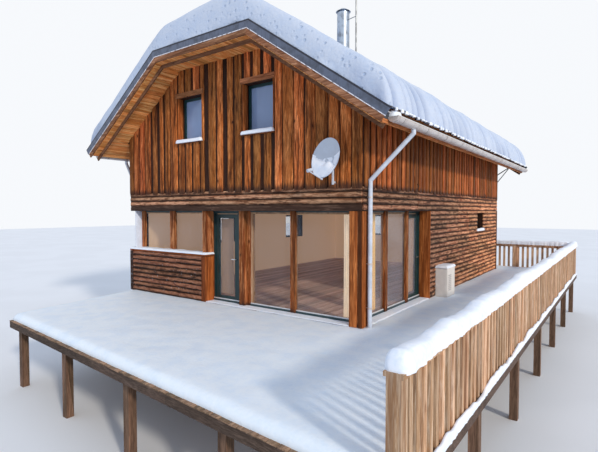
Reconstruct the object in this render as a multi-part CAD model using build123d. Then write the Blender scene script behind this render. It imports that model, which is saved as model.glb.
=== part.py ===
from build123d import *
import math
import os

# Snow-covered alpine chalet with a half-hipped roof and a railed timber deck.
# Millimetres, +Z up. The model is laid out with X across the front gable,
# Y from the front gable to the rear and Z from the top of the deck boards,
# and is moved at the end so that the origin is the middle of the base.

# House body
HOUSE_W = 6950
HOUSE_D = 10300
WALL_T = 300
RECESS = 250
FLOOR_TOP = 150
LINTEL_Z = 2250
BAND_TOP = 2720
UPPER_FLOOR_T = 200
CLADDING_LAP = 22
GROUND_Z = -1350
PLINTH_T = 260

# Roof
PITCH = 35
HIP_PITCH = 40
SOFFIT_AT_WALL = 4120
ROOF_DEPTH = 336
SOFFIT_T = 20
VERGE_OUT = 750
EAVE_OUT_LEFT = 620
EAVE_OUT_RIGHT = 720
FLASHING_OUT_LEFT = 850
FLASHING_OUT_RIGHT = 880
HIP_DROP = 1019
FASCIA_T = 24
FLASHING_H = 165
FLASHING_T = 6
FLASHING_LAP = 40
UPPER_BARGE_H = 105
UPPER_BARGE_T = 30
LOWER_BARGE_H = 90
LOWER_BARGE_T = 26
LOWER_BARGE_SET = 150
DRIP_SET = 40
DRIP_T = 12

# Rainwater goods, flue, mast
GUTTER_R = 88
GUTTER_T = 4
GUTTER_SET = 220
GUTTER_TOP_Z = 3740
PIPE_R = 40
PIPE_WALL_GAP = 45
PIPE_OUTLET_Y = 330
PIPE_OUTLET_H = 60
PIPE_OFFSET_H = 790
PIPE_Y_LEFT = 250
PIPE_Y_RIGHT = 145
STRAP_W = 26
STRAP_T = 5
STRAP_COUNT = 12
CLAMP_W = 30
CLAMP_SPOTS = (2500, 1300, 500)
BRACE_T = 34
BRACE_OUT = 430
BRACE_LOW_Z = 3200
BRACE_HIGH_Z = 3500
FLUE_X = 5080
FLUE_Y = 2500
FLUE_R = 150
FLUE_TOP_Z = 7060
FLUE_BURIED = 400
FLUE_CAP_OUT = 30
FLUE_CAP_IN = 60
FLUE_CAP_H = 60
FLUE_NECK_SET = 40
FLUE_NECK_H = 30
MAST_R = 18
MAST_TOP_Z = 7900
MAST_OFFSET = 260
MAST_FORWARD = 100
STAY_DROP = 200
STAY_R = 9

# Front glazing: posts named by where they stand along the front
PARAPET_END = 2900
SILL_Z = 1240
SILL_T = 40
FIN_W = 120
FIN_SET = 190
END_POST_SET = 8
LEFT_POST_X = 190
WINDOW_FIN_X = 1370
WINDOW_FIN_W = 175
DOOR_FRAME_END = 3730
DOOR_FIN_X = 3840
DOOR_FIN_W = 140
DOOR_FIN_SET = 115
DOOR_PIER_END = 4070
PANE_FIN_X = 5200
CORNER_POST_W = 260
FRAME_W = 60
FRAME_T = 70
GLASS_T = 24

# Side glazing, measured back from the front gable
SIDE_START = 250
SIDE_FIN_1 = 1385
SIDE_FIN_2 = 2490
SIDE_FIN_SET = 200
SIDE_DOOR_END = 3390

# Doors
DOOR_GAP = 9
STILE_W = 95
LEAF_T = 56
DOOR_HEAD = 60
THRESHOLD_H = 30
HANDLE_Z = 1150
HINGE_R = 9
HINGE_H = 110
HINGE_PLATE_W = 42
HINGE_PLATE_T = 3
HINGE_PLAY = 0.3
HINGE_SHARES = (0.12, 0.5, 0.88)
HANDLE_R = 9
HANDLE_L = 120
HANDLE_NEAR = 30
HANDLE_FAR = 45
HANDLE_BED = 20

# Windows
UPPER_WINDOW_W = 840
UPPER_WINDOW_H = 1070
UPPER_WINDOW_Z = 3870
UPPER_WINDOW_OFF = 1055
UPPER_FRAME_SET = 160
SLOT_Y = 7620
SLOT_W = 760
SLOT_Z = 1620
SLOT_H = 560
SIDE_WINDOW_W = 1100
SIDE_WINDOW_H = 850
SIDE_WINDOW_Z = 1240
LEFT_WINDOWS = (2600, 6400)
REAR_WINDOWS = (1500, 4300)
SILL_LAP = 20
SILL_OUT = 40
SILL_BOARD_T = 30

# Deck and railing
DECK_T = 28
DECK_GAP = 5
DECK_LEFT_SET = 530
DECK_FRONT_LEFT = 3170
DECK_FRONT_RIGHT = 3900
DECK_RIGHT_OUT = 2410
DECK_REAR_OUT = 1250
RIM_T = 30
RIM_H = 110
RIM_DROP = 4
BEAM_T = 120
BEAM_H = 160
POST_W = 130
RAIL_TOP = 1000
RAIL_CAP_T = 40
RAIL_CAP_W = 180
RAIL_POST_W = 130
BALUSTER_W = 75
BALUSTER_T = 35
BALUSTER_PITCH = 163
BALUSTER_LOW = 30
RAIL_BAR_H = 70
RAIL_BAR_T = 40
RAIL_FOOT_Z = 60
RAIL_BAYS = 6
REAR_RAIL_START = 70
REAR_RAIL_BAYS = 5
BEAM_SET = 60
FRONT_BEAM_SET = 90
WALL_BEAM_OUT = 600
POST_END_SET = 250
FRONT_POST_BAYS = 4
BACK_POST_BAYS = 3

# Dish and utility box
DISH_R = 372
DISH_DEPTH = 75
DISH_T = 6
DISH_X = 6390
DISH_Z = 3190
DISH_OUT = 250
DISH_TURN = -16
DISH_LIFT = 12
DISH_POLE_R = 22
DISH_POLE_DROP = 420
BOX_D = 310
BOX_L = 600
BOX_H = 850
BOX_Y = 3800

# Snow
SNOW_ROOF = 420
SNOW_VERGE = 300
SNOW_EAVE = 260
SNOW_SHOULDER = 450
SNOW_RIM = 60
SNOW_DECK = 150
SNOW_DECK_SET = 20
SNOW_WALL_GAP = 10
SNOW_RAIL = 130
SNOW_SILL = 50
SNOW_ROUND = 45
CLEAR = 1
CUT = 10
OVERSIZE = 2000

CENTRE = HOUSE_W / 2
TAN = math.tan(math.radians(PITCH))
COS = math.cos(math.radians(PITCH))
SIN = math.sin(math.radians(PITCH))
HIP_TAN = math.tan(math.radians(HIP_PITCH))
RIDGE_Z = SOFFIT_AT_WALL + ROOF_DEPTH + CENTRE * TAN
HALF_HIP_TOP = RIDGE_Z - HIP_DROP
SOFFIT_INSET = ROOF_DEPTH * COS
HIP_SOFFIT_Z = HALF_HIP_TOP - SOFFIT_INSET
HIP_HALF = HIP_DROP / TAN
HIP_RUN = HIP_DROP / HIP_TAN
FRONT_Y = -VERGE_OUT
REAR_Y = HOUSE_D + VERGE_OUT
TOP_Z = RIDGE_Z + OVERSIZE
MAST_X = FLUE_X + FLUE_R + MAST_OFFSET
MAST_Y = FLUE_Y - MAST_FORWARD

parts = {}


def block(x0, x1, y0, y1, z0, z1):
    size = (x1 - x0, y1 - y0, z1 - z0)
    return Pos(x0, y0, z0) * Box(*size, align=(Align.MIN, Align.MIN, Align.MIN))


def along_y(outline, y0, y1):
    face = make_face(Polyline(*[(x, y0, z) for x, z in outline], close=True))
    return extrude(face, amount=y1 - y0, dir=(0, 1, 0))


def along_x(outline, x0, x1):
    face = make_face(Polyline(*[(x0, y, z) for y, z in outline], close=True))
    return extrude(face, amount=x1 - x0, dir=(1, 0, 0))


def upright(plan, z0, z1):
    face = make_face(Polyline(*[(x, y, z0) for x, y in plan], close=True))
    return extrude(face, amount=z1 - z0, dir=(0, 0, 1))


def group(*solids):
    return Compound([piece for solid in solids for piece in solid.solids()])


def mirror_rear(solid):
    return Pos(0, HOUSE_D, 0) * mirror(solid, about=Plane.XZ)


def roof_top(x):
    return RIDGE_Z - abs(x - CENTRE) * TAN


# Space under the roof planes, used to trim whatever stands up to them
def under_roof(drop, y0, y1):
    far = CENTRE + OVERSIZE
    low = GROUND_Z - OVERSIZE
    peak = RIDGE_Z - drop
    outline = [(CENTRE - far, low), (CENTRE + far, low), (CENTRE + far, peak - far * TAN)]
    outline += [(CENTRE, peak), (CENTRE - far, peak - far * TAN)]
    body = along_y(outline, y0, y1)
    rise = 2 * OVERSIZE
    front = [(FRONT_Y - CUT, HALF_HIP_TOP - drop), (FRONT_Y + rise / HIP_TAN, HALF_HIP_TOP - drop + rise)]
    front += [(FRONT_Y - CUT, HALF_HIP_TOP - drop + rise)]
    cut = along_x(front, CENTRE - far - 1, CENTRE + far + 1)
    return body - cut - mirror_rear(cut)


# Ring of foundation walls down to the lowest ground
def plinths():
    left = block(0, PLINTH_T, 0, HOUSE_D, GROUND_Z, 0)
    right = block(HOUSE_W - PLINTH_T, HOUSE_W, 0, HOUSE_D, GROUND_Z, 0)
    front = block(PLINTH_T, HOUSE_W - PLINTH_T, 0, PLINTH_T, GROUND_Z, 0)
    rear = block(PLINTH_T, HOUSE_W - PLINTH_T, HOUSE_D - PLINTH_T, HOUSE_D, GROUND_Z, 0)
    parts["plinth_long_walls"] = group(left, right)
    parts["plinth_cross_walls"] = group(front, rear)


def floors():
    parts["ground_floor"] = block(0, HOUSE_W, 0, HOUSE_D, 0, FLOOR_TOP)
    low = BAND_TOP - UPPER_FLOOR_T
    front = WALL_T + FRAME_T
    parts["upper_floor"] = block(WALL_T, HOUSE_W - WALL_T, front, HOUSE_D - WALL_T, low, BAND_TOP)


def hole_x(y0, y1, z0, z1, x0, x1):
    return block(x0 - CUT, x1 + CUT, y0, y1, z0, z1)


def hole_y(x0, x1, z0, z1, y0, y1):
    return block(x0, x1, y0 - CUT, y1 + CUT, z0, z1)


# Lower walls: plain behind, split beside the two doorways
def lower_walls():
    z0, z1 = FLOOR_TOP, LINTEL_Z
    parts["parapet"] = block(0, PARAPET_END, 0, RECESS + FRAME_T, z0, SILL_Z - SILL_T)
    left = block(0, WALL_T, RECESS + FRAME_T, HOUSE_D, z0, z1)
    for y in LEFT_WINDOWS:
        left -= hole_x(y, y + SIDE_WINDOW_W, SIDE_WINDOW_Z, SIDE_WINDOW_Z + SIDE_WINDOW_H, 0, WALL_T)
    parts["left_wall"] = left
    right = block(HOUSE_W - WALL_T, HOUSE_W, SIDE_DOOR_END, HOUSE_D, z0, z1)
    right -= hole_x(SLOT_Y, SLOT_Y + SLOT_W, SLOT_Z, SLOT_Z + SLOT_H, HOUSE_W - WALL_T, HOUSE_W)
    parts["right_wall"] = right
    rear = block(WALL_T, HOUSE_W - WALL_T, HOUSE_D - WALL_T, HOUSE_D, z0, z1)
    for x in REAR_WINDOWS:
        rear -= hole_y(x, x + SIDE_WINDOW_W, SIDE_WINDOW_Z, SIDE_WINDOW_Z + SIDE_WINDOW_H,
                       HOUSE_D - WALL_T, HOUSE_D)
    parts["rear_wall"] = rear


# Posts and fins in front of the glazing
def fins():
    z0, z1 = FLOOR_TOP, LINTEL_Z
    back = RECESS + FRAME_T
    x_corner = HOUSE_W - CORNER_POST_W
    corner = block(x_corner, HOUSE_W, 0, SIDE_START, z0, z1)
    parts["corner_post"] = corner
    sill = SILL_Z
    left_post = block(LEFT_POST_X, LEFT_POST_X + FIN_W, FIN_SET, RECESS, sill, z1)
    window_fin = block(WINDOW_FIN_X, WINDOW_FIN_X + WINDOW_FIN_W, FIN_SET, RECESS, sill, z1)
    end_post = block(PARAPET_END - FIN_W, PARAPET_END, END_POST_SET, RECESS, sill, z1)
    door_fin = block(DOOR_FIN_X, DOOR_FIN_X + DOOR_FIN_W, DOOR_FIN_SET, RECESS, z0, z1)
    pane_fin = block(PANE_FIN_X, PANE_FIN_X + FIN_W, FIN_SET, RECESS, z0, z1)
    x0 = HOUSE_W - RECESS
    x1 = HOUSE_W - SIDE_FIN_SET
    fin_1 = block(x0, x1, SIDE_FIN_1, SIDE_FIN_1 + FIN_W, z0, z1)
    fin_2 = block(x0, x1, SIDE_FIN_2, SIDE_FIN_2 + FIN_W, z0, z1)
    parts["glazing_posts"] = group(left_post, window_fin, end_post, door_fin, pane_fin, fin_1, fin_2)
    parts["door_pier"] = block(DOOR_FRAME_END, DOOR_PIER_END, RECESS, back, z0, z1)


def bands():
    front = block(0, HOUSE_W, 0, WALL_T + FRAME_T, LINTEL_Z, BAND_TOP)
    rear = block(0, HOUSE_W, HOUSE_D - WALL_T, HOUSE_D, LINTEL_Z, BAND_TOP)
    parts["storey_band_gables"] = group(front, rear)
    y0 = WALL_T + FRAME_T
    left = block(0, WALL_T, y0, HOUSE_D - WALL_T, LINTEL_Z, BAND_TOP)
    right = block(HOUSE_W - WALL_T, HOUSE_W, y0, HOUSE_D - WALL_T, LINTEL_Z, BAND_TOP)
    parts["storey_band_eaves"] = group(left, right)


def window_x(side):
    return CENTRE + side * UPPER_WINDOW_OFF - UPPER_WINDOW_W / 2


# Upper storey: gables cut to the roof and pierced by two windows each
def upper_walls():
    room = under_roof(ROOF_DEPTH, -100, HOUSE_D + 100)
    lap = CLADDING_LAP
    gable = block(-lap, HOUSE_W + lap, -lap, WALL_T, BAND_TOP, RIDGE_Z)
    for side in (-1, 1):
        x = window_x(side)
        gable -= hole_y(x, x + UPPER_WINDOW_W, UPPER_WINDOW_Z, UPPER_WINDOW_Z + UPPER_WINDOW_H, -lap, WALL_T)
    parts["front_gable"] = gable & room
    parts["rear_gable"] = mirror_rear(gable) & room
    left = block(-lap, WALL_T, WALL_T, HOUSE_D - WALL_T, BAND_TOP, SOFFIT_AT_WALL + 400)
    right = block(HOUSE_W - WALL_T, HOUSE_W + lap, WALL_T, HOUSE_D - WALL_T, BAND_TOP, SOFFIT_AT_WALL + 400)
    parts["upper_side_walls"] = group(left & room, right & room)


# Window frame in a plane across Y, with its sheet of glass
def frame_y(x0, x1, z0, z1, y, width, bars=()):
    frame = block(x0, x1, y, y + FRAME_T, z0, z1)
    edges = [x0] + list(bars) + [x1]
    panes = []
    for left, right in zip(edges[:-1], edges[1:]):
        a = left + (width if left == x0 else width / 2)
        b = right - (width if right == x1 else width / 2)
        frame -= hole_y(a, b, z0 + width, z1 - width, y, y + FRAME_T)
        mid = y + (FRAME_T - GLASS_T) / 2
        panes.append(block(a, b, mid, mid + GLASS_T, z0 + width, z1 - width))
    return frame, panes


def frame_x(y0, y1, z0, z1, x, width, bars=()):
    frame = block(x, x + FRAME_T, y0, y1, z0, z1)
    edges = [y0] + list(bars) + [y1]
    panes = []
    for near, far in zip(edges[:-1], edges[1:]):
        a = near + (width if near == y0 else width / 2)
        b = far - (width if far == y1 else width / 2)
        frame -= hole_x(a, b, z0 + width, z1 - width, x, x + FRAME_T)
        mid = x + (FRAME_T - GLASS_T) / 2
        panes.append(block(mid, mid + GLASS_T, a, b, z0 + width, z1 - width))
    return frame, panes


def fixed_glazing():
    z0, z1 = FLOOR_TOP, LINTEL_Z
    frames, panes = [], []
    x0 = DOOR_PIER_END
    x1 = HOUSE_W - RECESS - FRAME_T - CLEAR
    frame, glass = frame_y(x0, x1, z0, z1, RECESS, FRAME_W, bars=[PANE_FIN_X + FIN_W / 2])
    frames.append(frame)
    panes += glass
    frame, glass = frame_y(0, PARAPET_END, SILL_Z - SILL_T, z1, RECESS, FRAME_W, bars=[WINDOW_FIN_X + WINDOW_FIN_W / 2])
    frames.append(frame)
    panes += glass
    x = HOUSE_W - RECESS - FRAME_T
    frame, glass = frame_x(SIDE_START, SIDE_FIN_2 + FIN_W, z0, z1, x, FRAME_W, bars=[SIDE_FIN_1 + FIN_W / 2])
    frames.append(frame)
    panes += glass
    parts["glazing_frames"] = group(*frames)
    parts["glazing_panes"] = group(*panes)


# Small windows of the upper storey and of the plain sides
def small_windows():
    frames, panes = [], []
    for side in (-1, 1):
        x = window_x(side)
        frame, glass = frame_y(x, x + UPPER_WINDOW_W, UPPER_WINDOW_Z, UPPER_WINDOW_Z + UPPER_WINDOW_H,
                               UPPER_FRAME_SET, FRAME_W)
        frames += [frame, mirror_rear(frame)]
        panes += glass + [mirror_rear(g) for g in glass]
    top = SIDE_WINDOW_Z + SIDE_WINDOW_H
    for y in LEFT_WINDOWS:
        frame, glass = frame_x(y, y + SIDE_WINDOW_W, SIDE_WINDOW_Z, top, UPPER_FRAME_SET, FRAME_W)
        frames.append(frame)
        panes += glass
    for x in REAR_WINDOWS:
        y = HOUSE_D - UPPER_FRAME_SET - FRAME_T
        frame, glass = frame_y(x, x + SIDE_WINDOW_W, SIDE_WINDOW_Z, top, y, FRAME_W)
        frames.append(frame)
        panes += glass
    x = HOUSE_W - UPPER_FRAME_SET - FRAME_T
    frame, glass = frame_x(SLOT_Y, SLOT_Y + SLOT_W, SLOT_Z, SLOT_Z + SLOT_H, x, FRAME_W)
    frames.append(frame)
    panes += glass
    parts["small_window_frames"] = group(*frames)
    parts["small_window_panes"] = group(*panes)


# Three hinges on one upright axis: the fixed halves, then the halves on the leaf
def hinges(z0, z1):
    fixed, moving = [], []
    for share in HINGE_SHARES:
        z = z0 + share * (z1 - z0)
        half = HINGE_H / 2
        y0 = -HINGE_R
        y1 = y0 + HINGE_PLATE_T
        low = Pos(0, 0, z - half / 2 - HINGE_PLAY / 2) * Cylinder(HINGE_R, half)
        high = Pos(0, 0, z + half / 2 + HINGE_PLAY / 2) * Cylinder(HINGE_R, half)
        low_z = (z - half - HINGE_PLAY / 2, z - HINGE_PLAY / 2)
        high_z = (z + HINGE_PLAY / 2, z + half + HINGE_PLAY / 2)
        fixed.append(low + block(-HINGE_PLATE_W, 0, y0, y1, *low_z))
        moving.append(high + block(0, HINGE_PLATE_W, y0, y1, *high_z))
    return fixed, moving


# Hinged glazed leaf standing across Y, with a handle on both faces
def front_door():
    x0, x1 = PARAPET_END, DOOR_FRAME_END
    z0, z1 = FLOOR_TOP, LINTEL_Z
    y = RECESS
    frame = block(x0, x1, y, y + FRAME_T, z0, z1)
    frame -= hole_y(x0 + FRAME_W, x1 - FRAME_W, z0 + THRESHOLD_H, z1 - DOOR_HEAD, y, y + FRAME_T)
    parts["front_door_frame"] = frame
    a, b = x0 + FRAME_W + DOOR_GAP, x1 - FRAME_W - DOOR_GAP
    low, high = z0 + THRESHOLD_H + DOOR_GAP, z1 - DOOR_HEAD - DOOR_GAP
    leaf = block(a, b, y + FRAME_T - LEAF_T, y + FRAME_T, low, high)
    leaf -= hole_y(a + STILE_W, b - STILE_W, low + STILE_W, high - STILE_W, y, y + FRAME_T)
    mid = y + FRAME_T - (LEAF_T + GLASS_T) / 2
    parts["front_door_leaf"] = leaf
    parts["front_door_glass"] = block(a + STILE_W, b - STILE_W, mid, mid + GLASS_T, low + STILE_W, high - STILE_W)
    spot = b - STILE_W / 2
    back, face = y + FRAME_T, y + FRAME_T - LEAF_T
    low_z, high_z = HANDLE_Z - HANDLE_R, HANDLE_Z + HANDLE_R
    stem = Cylinder(HANDLE_R, LEAF_T + 2 * HANDLE_FAR)
    rose = Pos(spot, y + FRAME_T - LEAF_T / 2, HANDLE_Z) * Rot(90, 0, 0) * stem
    bed = HANDLE_BED
    rose -= block(spot - bed, spot + bed, face, back, HANDLE_Z - bed, HANDLE_Z + bed)
    out = block(spot - HANDLE_L, spot + HANDLE_R, face - HANDLE_FAR, face - HANDLE_NEAR, low_z, high_z)
    inn = block(spot - HANDLE_L, spot + HANDLE_R, back + HANDLE_NEAR, back + HANDLE_FAR, low_z, high_z)
    both = rose + out + inn
    axis = Pos(x0 + FRAME_W + DOOR_GAP / 2, y + FRAME_T + HINGE_R, 0)
    fixed, moving = hinges(low, high)
    parts["front_door_fittings"] = group(both, *[axis * half for half in moving])
    return [axis * half for half in fixed]


def side_door():
    y0, y1 = SIDE_FIN_2 + FIN_W, SIDE_DOOR_END
    z0, z1 = FLOOR_TOP, LINTEL_Z
    x = HOUSE_W - RECESS - FRAME_T
    frame = block(x, x + FRAME_T, y0, y1, z0, z1)
    frame -= hole_x(y0 + FRAME_W, y1 - FRAME_W, z0 + THRESHOLD_H, z1 - DOOR_HEAD, x, x + FRAME_T)
    parts["side_door_frame"] = frame
    a, b = y0 + FRAME_W + DOOR_GAP, y1 - FRAME_W - DOOR_GAP
    low, high = z0 + THRESHOLD_H + DOOR_GAP, z1 - DOOR_HEAD - DOOR_GAP
    leaf = block(x, x + LEAF_T, a, b, low, high)
    leaf -= hole_x(a + STILE_W, b - STILE_W, low + STILE_W, high - STILE_W, x, x + LEAF_T)
    mid = x + (LEAF_T - GLASS_T) / 2
    parts["side_door_leaf"] = leaf
    parts["side_door_glass"] = block(mid, mid + GLASS_T, a + STILE_W, b - STILE_W, low + STILE_W, high - STILE_W)
    spot = b - STILE_W / 2
    face = x + LEAF_T
    low_z, high_z = HANDLE_Z - HANDLE_R, HANDLE_Z + HANDLE_R
    stem = Cylinder(HANDLE_R, LEAF_T + 2 * HANDLE_FAR)
    rose = Pos(x + LEAF_T / 2, spot, HANDLE_Z) * Rot(0, 90, 0) * stem
    bed = HANDLE_BED
    rose -= block(x, face, spot - bed, spot + bed, HANDLE_Z - bed, HANDLE_Z + bed)
    out = block(face + HANDLE_NEAR, face + HANDLE_FAR, spot - HANDLE_L, spot + HANDLE_R, low_z, high_z)
    inn = block(x - HANDLE_FAR, x - HANDLE_NEAR, spot - HANDLE_L, spot + HANDLE_R, low_z, high_z)
    both = rose + out + inn
    axis = Pos(x - HINGE_R, y0 + FRAME_W + DOOR_GAP / 2, 0) * Rot(0, 0, 90)
    fixed, moving = hinges(low, high)
    parts["side_door_fittings"] = group(both, *[axis * half for half in moving])
    return [axis * half for half in fixed]


def upper_sill(side, z0, z1):
    x = window_x(side)
    face = -CLADDING_LAP
    return block(x - SILL_LAP, x + UPPER_WINDOW_W + SILL_LAP, face - SILL_OUT, face, z0, z1)


def slot_sill(z0, z1):
    return block(HOUSE_W, HOUSE_W + SILL_OUT, SLOT_Y - SILL_LAP, SLOT_Y + SLOT_W + SILL_LAP, z0, z1)


def sills():
    pieces = [block(-SILL_LAP, PARAPET_END + SILL_LAP, -SILL_OUT, RECESS, SILL_Z - SILL_T, SILL_Z)]
    for side in (-1, 1):
        sill = upper_sill(side, UPPER_WINDOW_Z - SILL_BOARD_T, UPPER_WINDOW_Z)
        pieces += [sill, mirror_rear(sill)]
    pieces.append(slot_sill(SLOT_Z - SILL_BOARD_T, SLOT_Z))
    low = SIDE_WINDOW_Z - SILL_BOARD_T
    for y in LEFT_WINDOWS:
        pieces.append(block(-SILL_OUT, 0, y - SILL_LAP, y + SIDE_WINDOW_W + SILL_LAP, low, SIDE_WINDOW_Z))
    for x in REAR_WINDOWS:
        end = x + SIDE_WINDOW_W + SILL_LAP
        pieces.append(block(x - SILL_LAP, end, HOUSE_D, HOUSE_D + SILL_OUT, low, SIDE_WINDOW_Z))
    parts["window_sills"] = group(*pieces)


def slope_plan(side, out, front, rear):
    edge = CENTRE + side * (CENTRE + out)
    corner = CENTRE + side * HIP_HALF
    apex_front = FRONT_Y + HIP_RUN
    apex_rear = REAR_Y - HIP_RUN
    return [(edge, front), (corner, front), (CENTRE, apex_front), (CENTRE, apex_rear), (corner, rear), (edge, rear)]


def slope_slab(side, out, top, depth):
    plan = slope_plan(side, out, FRONT_Y, REAR_Y)
    edge = CENTRE + side * (CENTRE + out)
    edge_z = roof_top(edge)
    outline = [(edge, edge_z + top), (CENTRE, RIDGE_Z + top), (CENTRE, RIDGE_Z + top - depth)]
    outline += [(edge, edge_z + top - depth)]
    return upright(plan, 0, TOP_Z) & along_y(outline, FRONT_Y - CUT, REAR_Y + CUT)


def hip_slab(top, depth):
    plan = [(CENTRE - HIP_HALF, FRONT_Y), (CENTRE + HIP_HALF, FRONT_Y), (CENTRE, FRONT_Y + HIP_RUN)]
    far = FRONT_Y + HIP_RUN
    outline = [(FRONT_Y, HALF_HIP_TOP + top), (far, RIDGE_Z + top), (far, RIDGE_Z + top - depth)]
    outline += [(FRONT_Y, HALF_HIP_TOP + top - depth)]
    return upright(plan, 0, TOP_Z) & along_x(outline, 0, HOUSE_W)


# Everything between two planes across the house, used to trim roof pieces
def across(y0, y1, z0=0):
    return block(-OVERSIZE, HOUSE_W + OVERSIZE, y0, y1, z0, TOP_Z)


# Four roof slabs meeting along the ridge and the hips, their sheet running on over the gutters
def roof():
    depth = ROOF_DEPTH - SOFFIT_T
    trim = across(FRONT_Y + UPPER_BARGE_T, REAR_Y - UPPER_BARGE_T)
    left = slope_slab(-1, EAVE_OUT_LEFT - FASCIA_T, 0, depth)
    left += slope_slab(-1, FLASHING_OUT_LEFT - DRIP_SET, 0, DRIP_T)
    right = slope_slab(1, EAVE_OUT_RIGHT - FASCIA_T, 0, depth)
    right += slope_slab(1, FLASHING_OUT_RIGHT - DRIP_SET, 0, DRIP_T)
    parts["roof_left"] = left & trim
    parts["roof_right"] = right & trim
    hip = hip_slab(0, depth) & across(FRONT_Y + UPPER_BARGE_T, REAR_Y - UPPER_BARGE_T, HIP_SOFFIT_Z)
    parts["roof_hips"] = group(hip, mirror_rear(hip))


# Boarded underside of the overhangs, level under the half hips
def soffits():
    back = FRONT_Y + UPPER_BARGE_T
    trim = across(back, HOUSE_D - back)
    lap = CLADDING_LAP
    house = block(-lap, HOUSE_W + lap, -lap, HOUSE_D + lap, 0, TOP_Z)
    level = across(-OVERSIZE, HOUSE_D + OVERSIZE, HIP_SOFFIT_Z)
    pieces = []
    for side, out in ((-1, EAVE_OUT_LEFT), (1, EAVE_OUT_RIGHT)):
        slab = slope_slab(side, out - FASCIA_T, SOFFIT_T - ROOF_DEPTH, SOFFIT_T)
        pieces.append((slab & trim) - house - level)
    half = (RIDGE_Z - ROOF_DEPTH - HIP_SOFFIT_Z) / TAN
    board = block(CENTRE - half, CENTRE + half, back, -lap, HIP_SOFFIT_Z, HIP_SOFFIT_Z + SOFFIT_T)
    board = board & under_roof(ROOF_DEPTH, -OVERSIZE, HOUSE_D + OVERSIZE)
    parts["eave_soffits"] = group(*pieces)
    parts["hip_soffits"] = group(board, mirror_rear(board))


# Edge line of the roof seen from the gable, lowered square to its slope with its ends cut square
def roof_line(inset, out_left, out_right):
    x0, x1 = inset * SIN - out_left, HOUSE_W + out_right - inset * SIN
    drop = inset / COS
    level = HALF_HIP_TOP - inset
    half = (RIDGE_Z - drop - level) / TAN
    return [(x0, roof_top(x0) - drop), (CENTRE - half, level), (CENTRE + half, level), (x1, roof_top(x1) - drop)]


def strip(inset_top, inset_low, out_left, out_right, y0, y1):
    upper = roof_line(inset_top, out_left, out_right)
    lower = roof_line(inset_low, out_left, out_right)
    return along_y(upper + lower[::-1], y0, y1)


# Sloping metal, a board tucked behind it, and a second board hung back under the soffit
def verge_trim():
    top = strip(0, FLASHING_H, FLASHING_OUT_LEFT, FLASHING_OUT_RIGHT, FRONT_Y - FLASHING_T, FRONT_Y)
    parts["verge_flashings"] = group(top, mirror_rear(top))
    low_edge = FLASHING_H + UPPER_BARGE_H
    out_left, out_right = FLASHING_OUT_LEFT - FASCIA_T, FLASHING_OUT_RIGHT - FASCIA_T
    upper = strip(FLASHING_H - FLASHING_LAP, low_edge, out_left, out_right, FRONT_Y, FRONT_Y + UPPER_BARGE_T)
    y0 = FRONT_Y + UPPER_BARGE_T + LOWER_BARGE_SET
    low_edge = SOFFIT_INSET + LOWER_BARGE_H
    lower = strip(SOFFIT_INSET, low_edge, out_left, out_right, y0, y0 + LOWER_BARGE_T)
    parts["barge_boards"] = group(upper, mirror_rear(upper), lower, mirror_rear(lower))


def eaves():
    boards, gutters = [], []
    for side, out in ((-1, EAVE_OUT_LEFT), (1, EAVE_OUT_RIGHT)):
        face = CENTRE + side * (CENTRE + out)
        inner = face - side * FASCIA_T
        low = roof_top(inner) - ROOF_DEPTH
        x0, x1 = min(face, inner), max(face, inner)
        y0 = FRONT_Y + UPPER_BARGE_T
        boards.append(block(x0, x1, y0, HOUSE_D - y0, low, roof_top(face) - DRIP_T))
        middle = face + side * (GUTTER_R + CLEAR)
        start, end = FRONT_Y + GUTTER_SET, REAR_Y - UPPER_BARGE_T - CLEAR
        ring = Cylinder(GUTTER_R, end - start) - Cylinder(GUTTER_R - GUTTER_T, end - start - 2 * GUTTER_T)
        ring = Pos(middle, (start + end) / 2, GUTTER_TOP_Z) * Rot(90, 0, 0) * ring
        cut = 2 * GUTTER_R
        ring -= block(middle - cut, middle + cut, FRONT_Y - CUT, REAR_Y + CUT, GUTTER_TOP_Z, GUTTER_TOP_Z + cut)
        gutters.append(ring)
    parts["eave_boards"] = group(*boards)
    parts["gutters"] = group(*gutters)


def pipe(points, radius):
    path = Polyline(*points)
    start = Plane(origin=points[0], z_dir=Vector(*points[1]) - Vector(*points[0]))
    return sweep(start * Circle(radius), path=path, transition=Transition.RIGHT)


def downpipes():
    runs = []
    holders = []
    for side, out, y_low in ((-1, EAVE_OUT_LEFT, PIPE_Y_LEFT), (1, EAVE_OUT_RIGHT, PIPE_Y_RIGHT)):
        x_out = CENTRE + side * (CENTRE + out + GUTTER_R)
        x_in = CENTRE + side * (CENTRE + PIPE_R + PIPE_WALL_GAP)
        top = GUTTER_TOP_Z - GUTTER_R
        bend = top - PIPE_OUTLET_H
        points = [(x_out, PIPE_OUTLET_Y, top), (x_out, PIPE_OUTLET_Y, bend)]
        points += [(x_in, y_low, bend - PIPE_OFFSET_H), (x_in, y_low, SNOW_DECK / 2)]
        runs.append(pipe(points, PIPE_R))
        for z in CLAMP_SPOTS:
            holders.append(clamp(side, x_in, y_low, z))
        holders += straps(side, out)
    parts["downpipes"] = group(*runs)
    parts["rainwater_brackets"] = group(*holders)


# Clamp round the downpipe with its stem screwed to the wall
def clamp(side, x, y, z):
    ring = Cylinder(PIPE_R + STRAP_T, CLAMP_W) - Cylinder(PIPE_R, CLAMP_W)
    wall = CENTRE + side * CENTRE
    inner = x - side * (PIPE_R + STRAP_T / 2)
    x0, x1 = min(wall, inner), max(wall, inner)
    stem = block(x0, x1, y - STRAP_T, y + STRAP_T, z - STRAP_T, z + STRAP_T)
    return Pos(x, y, z) * ring + stem


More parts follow.
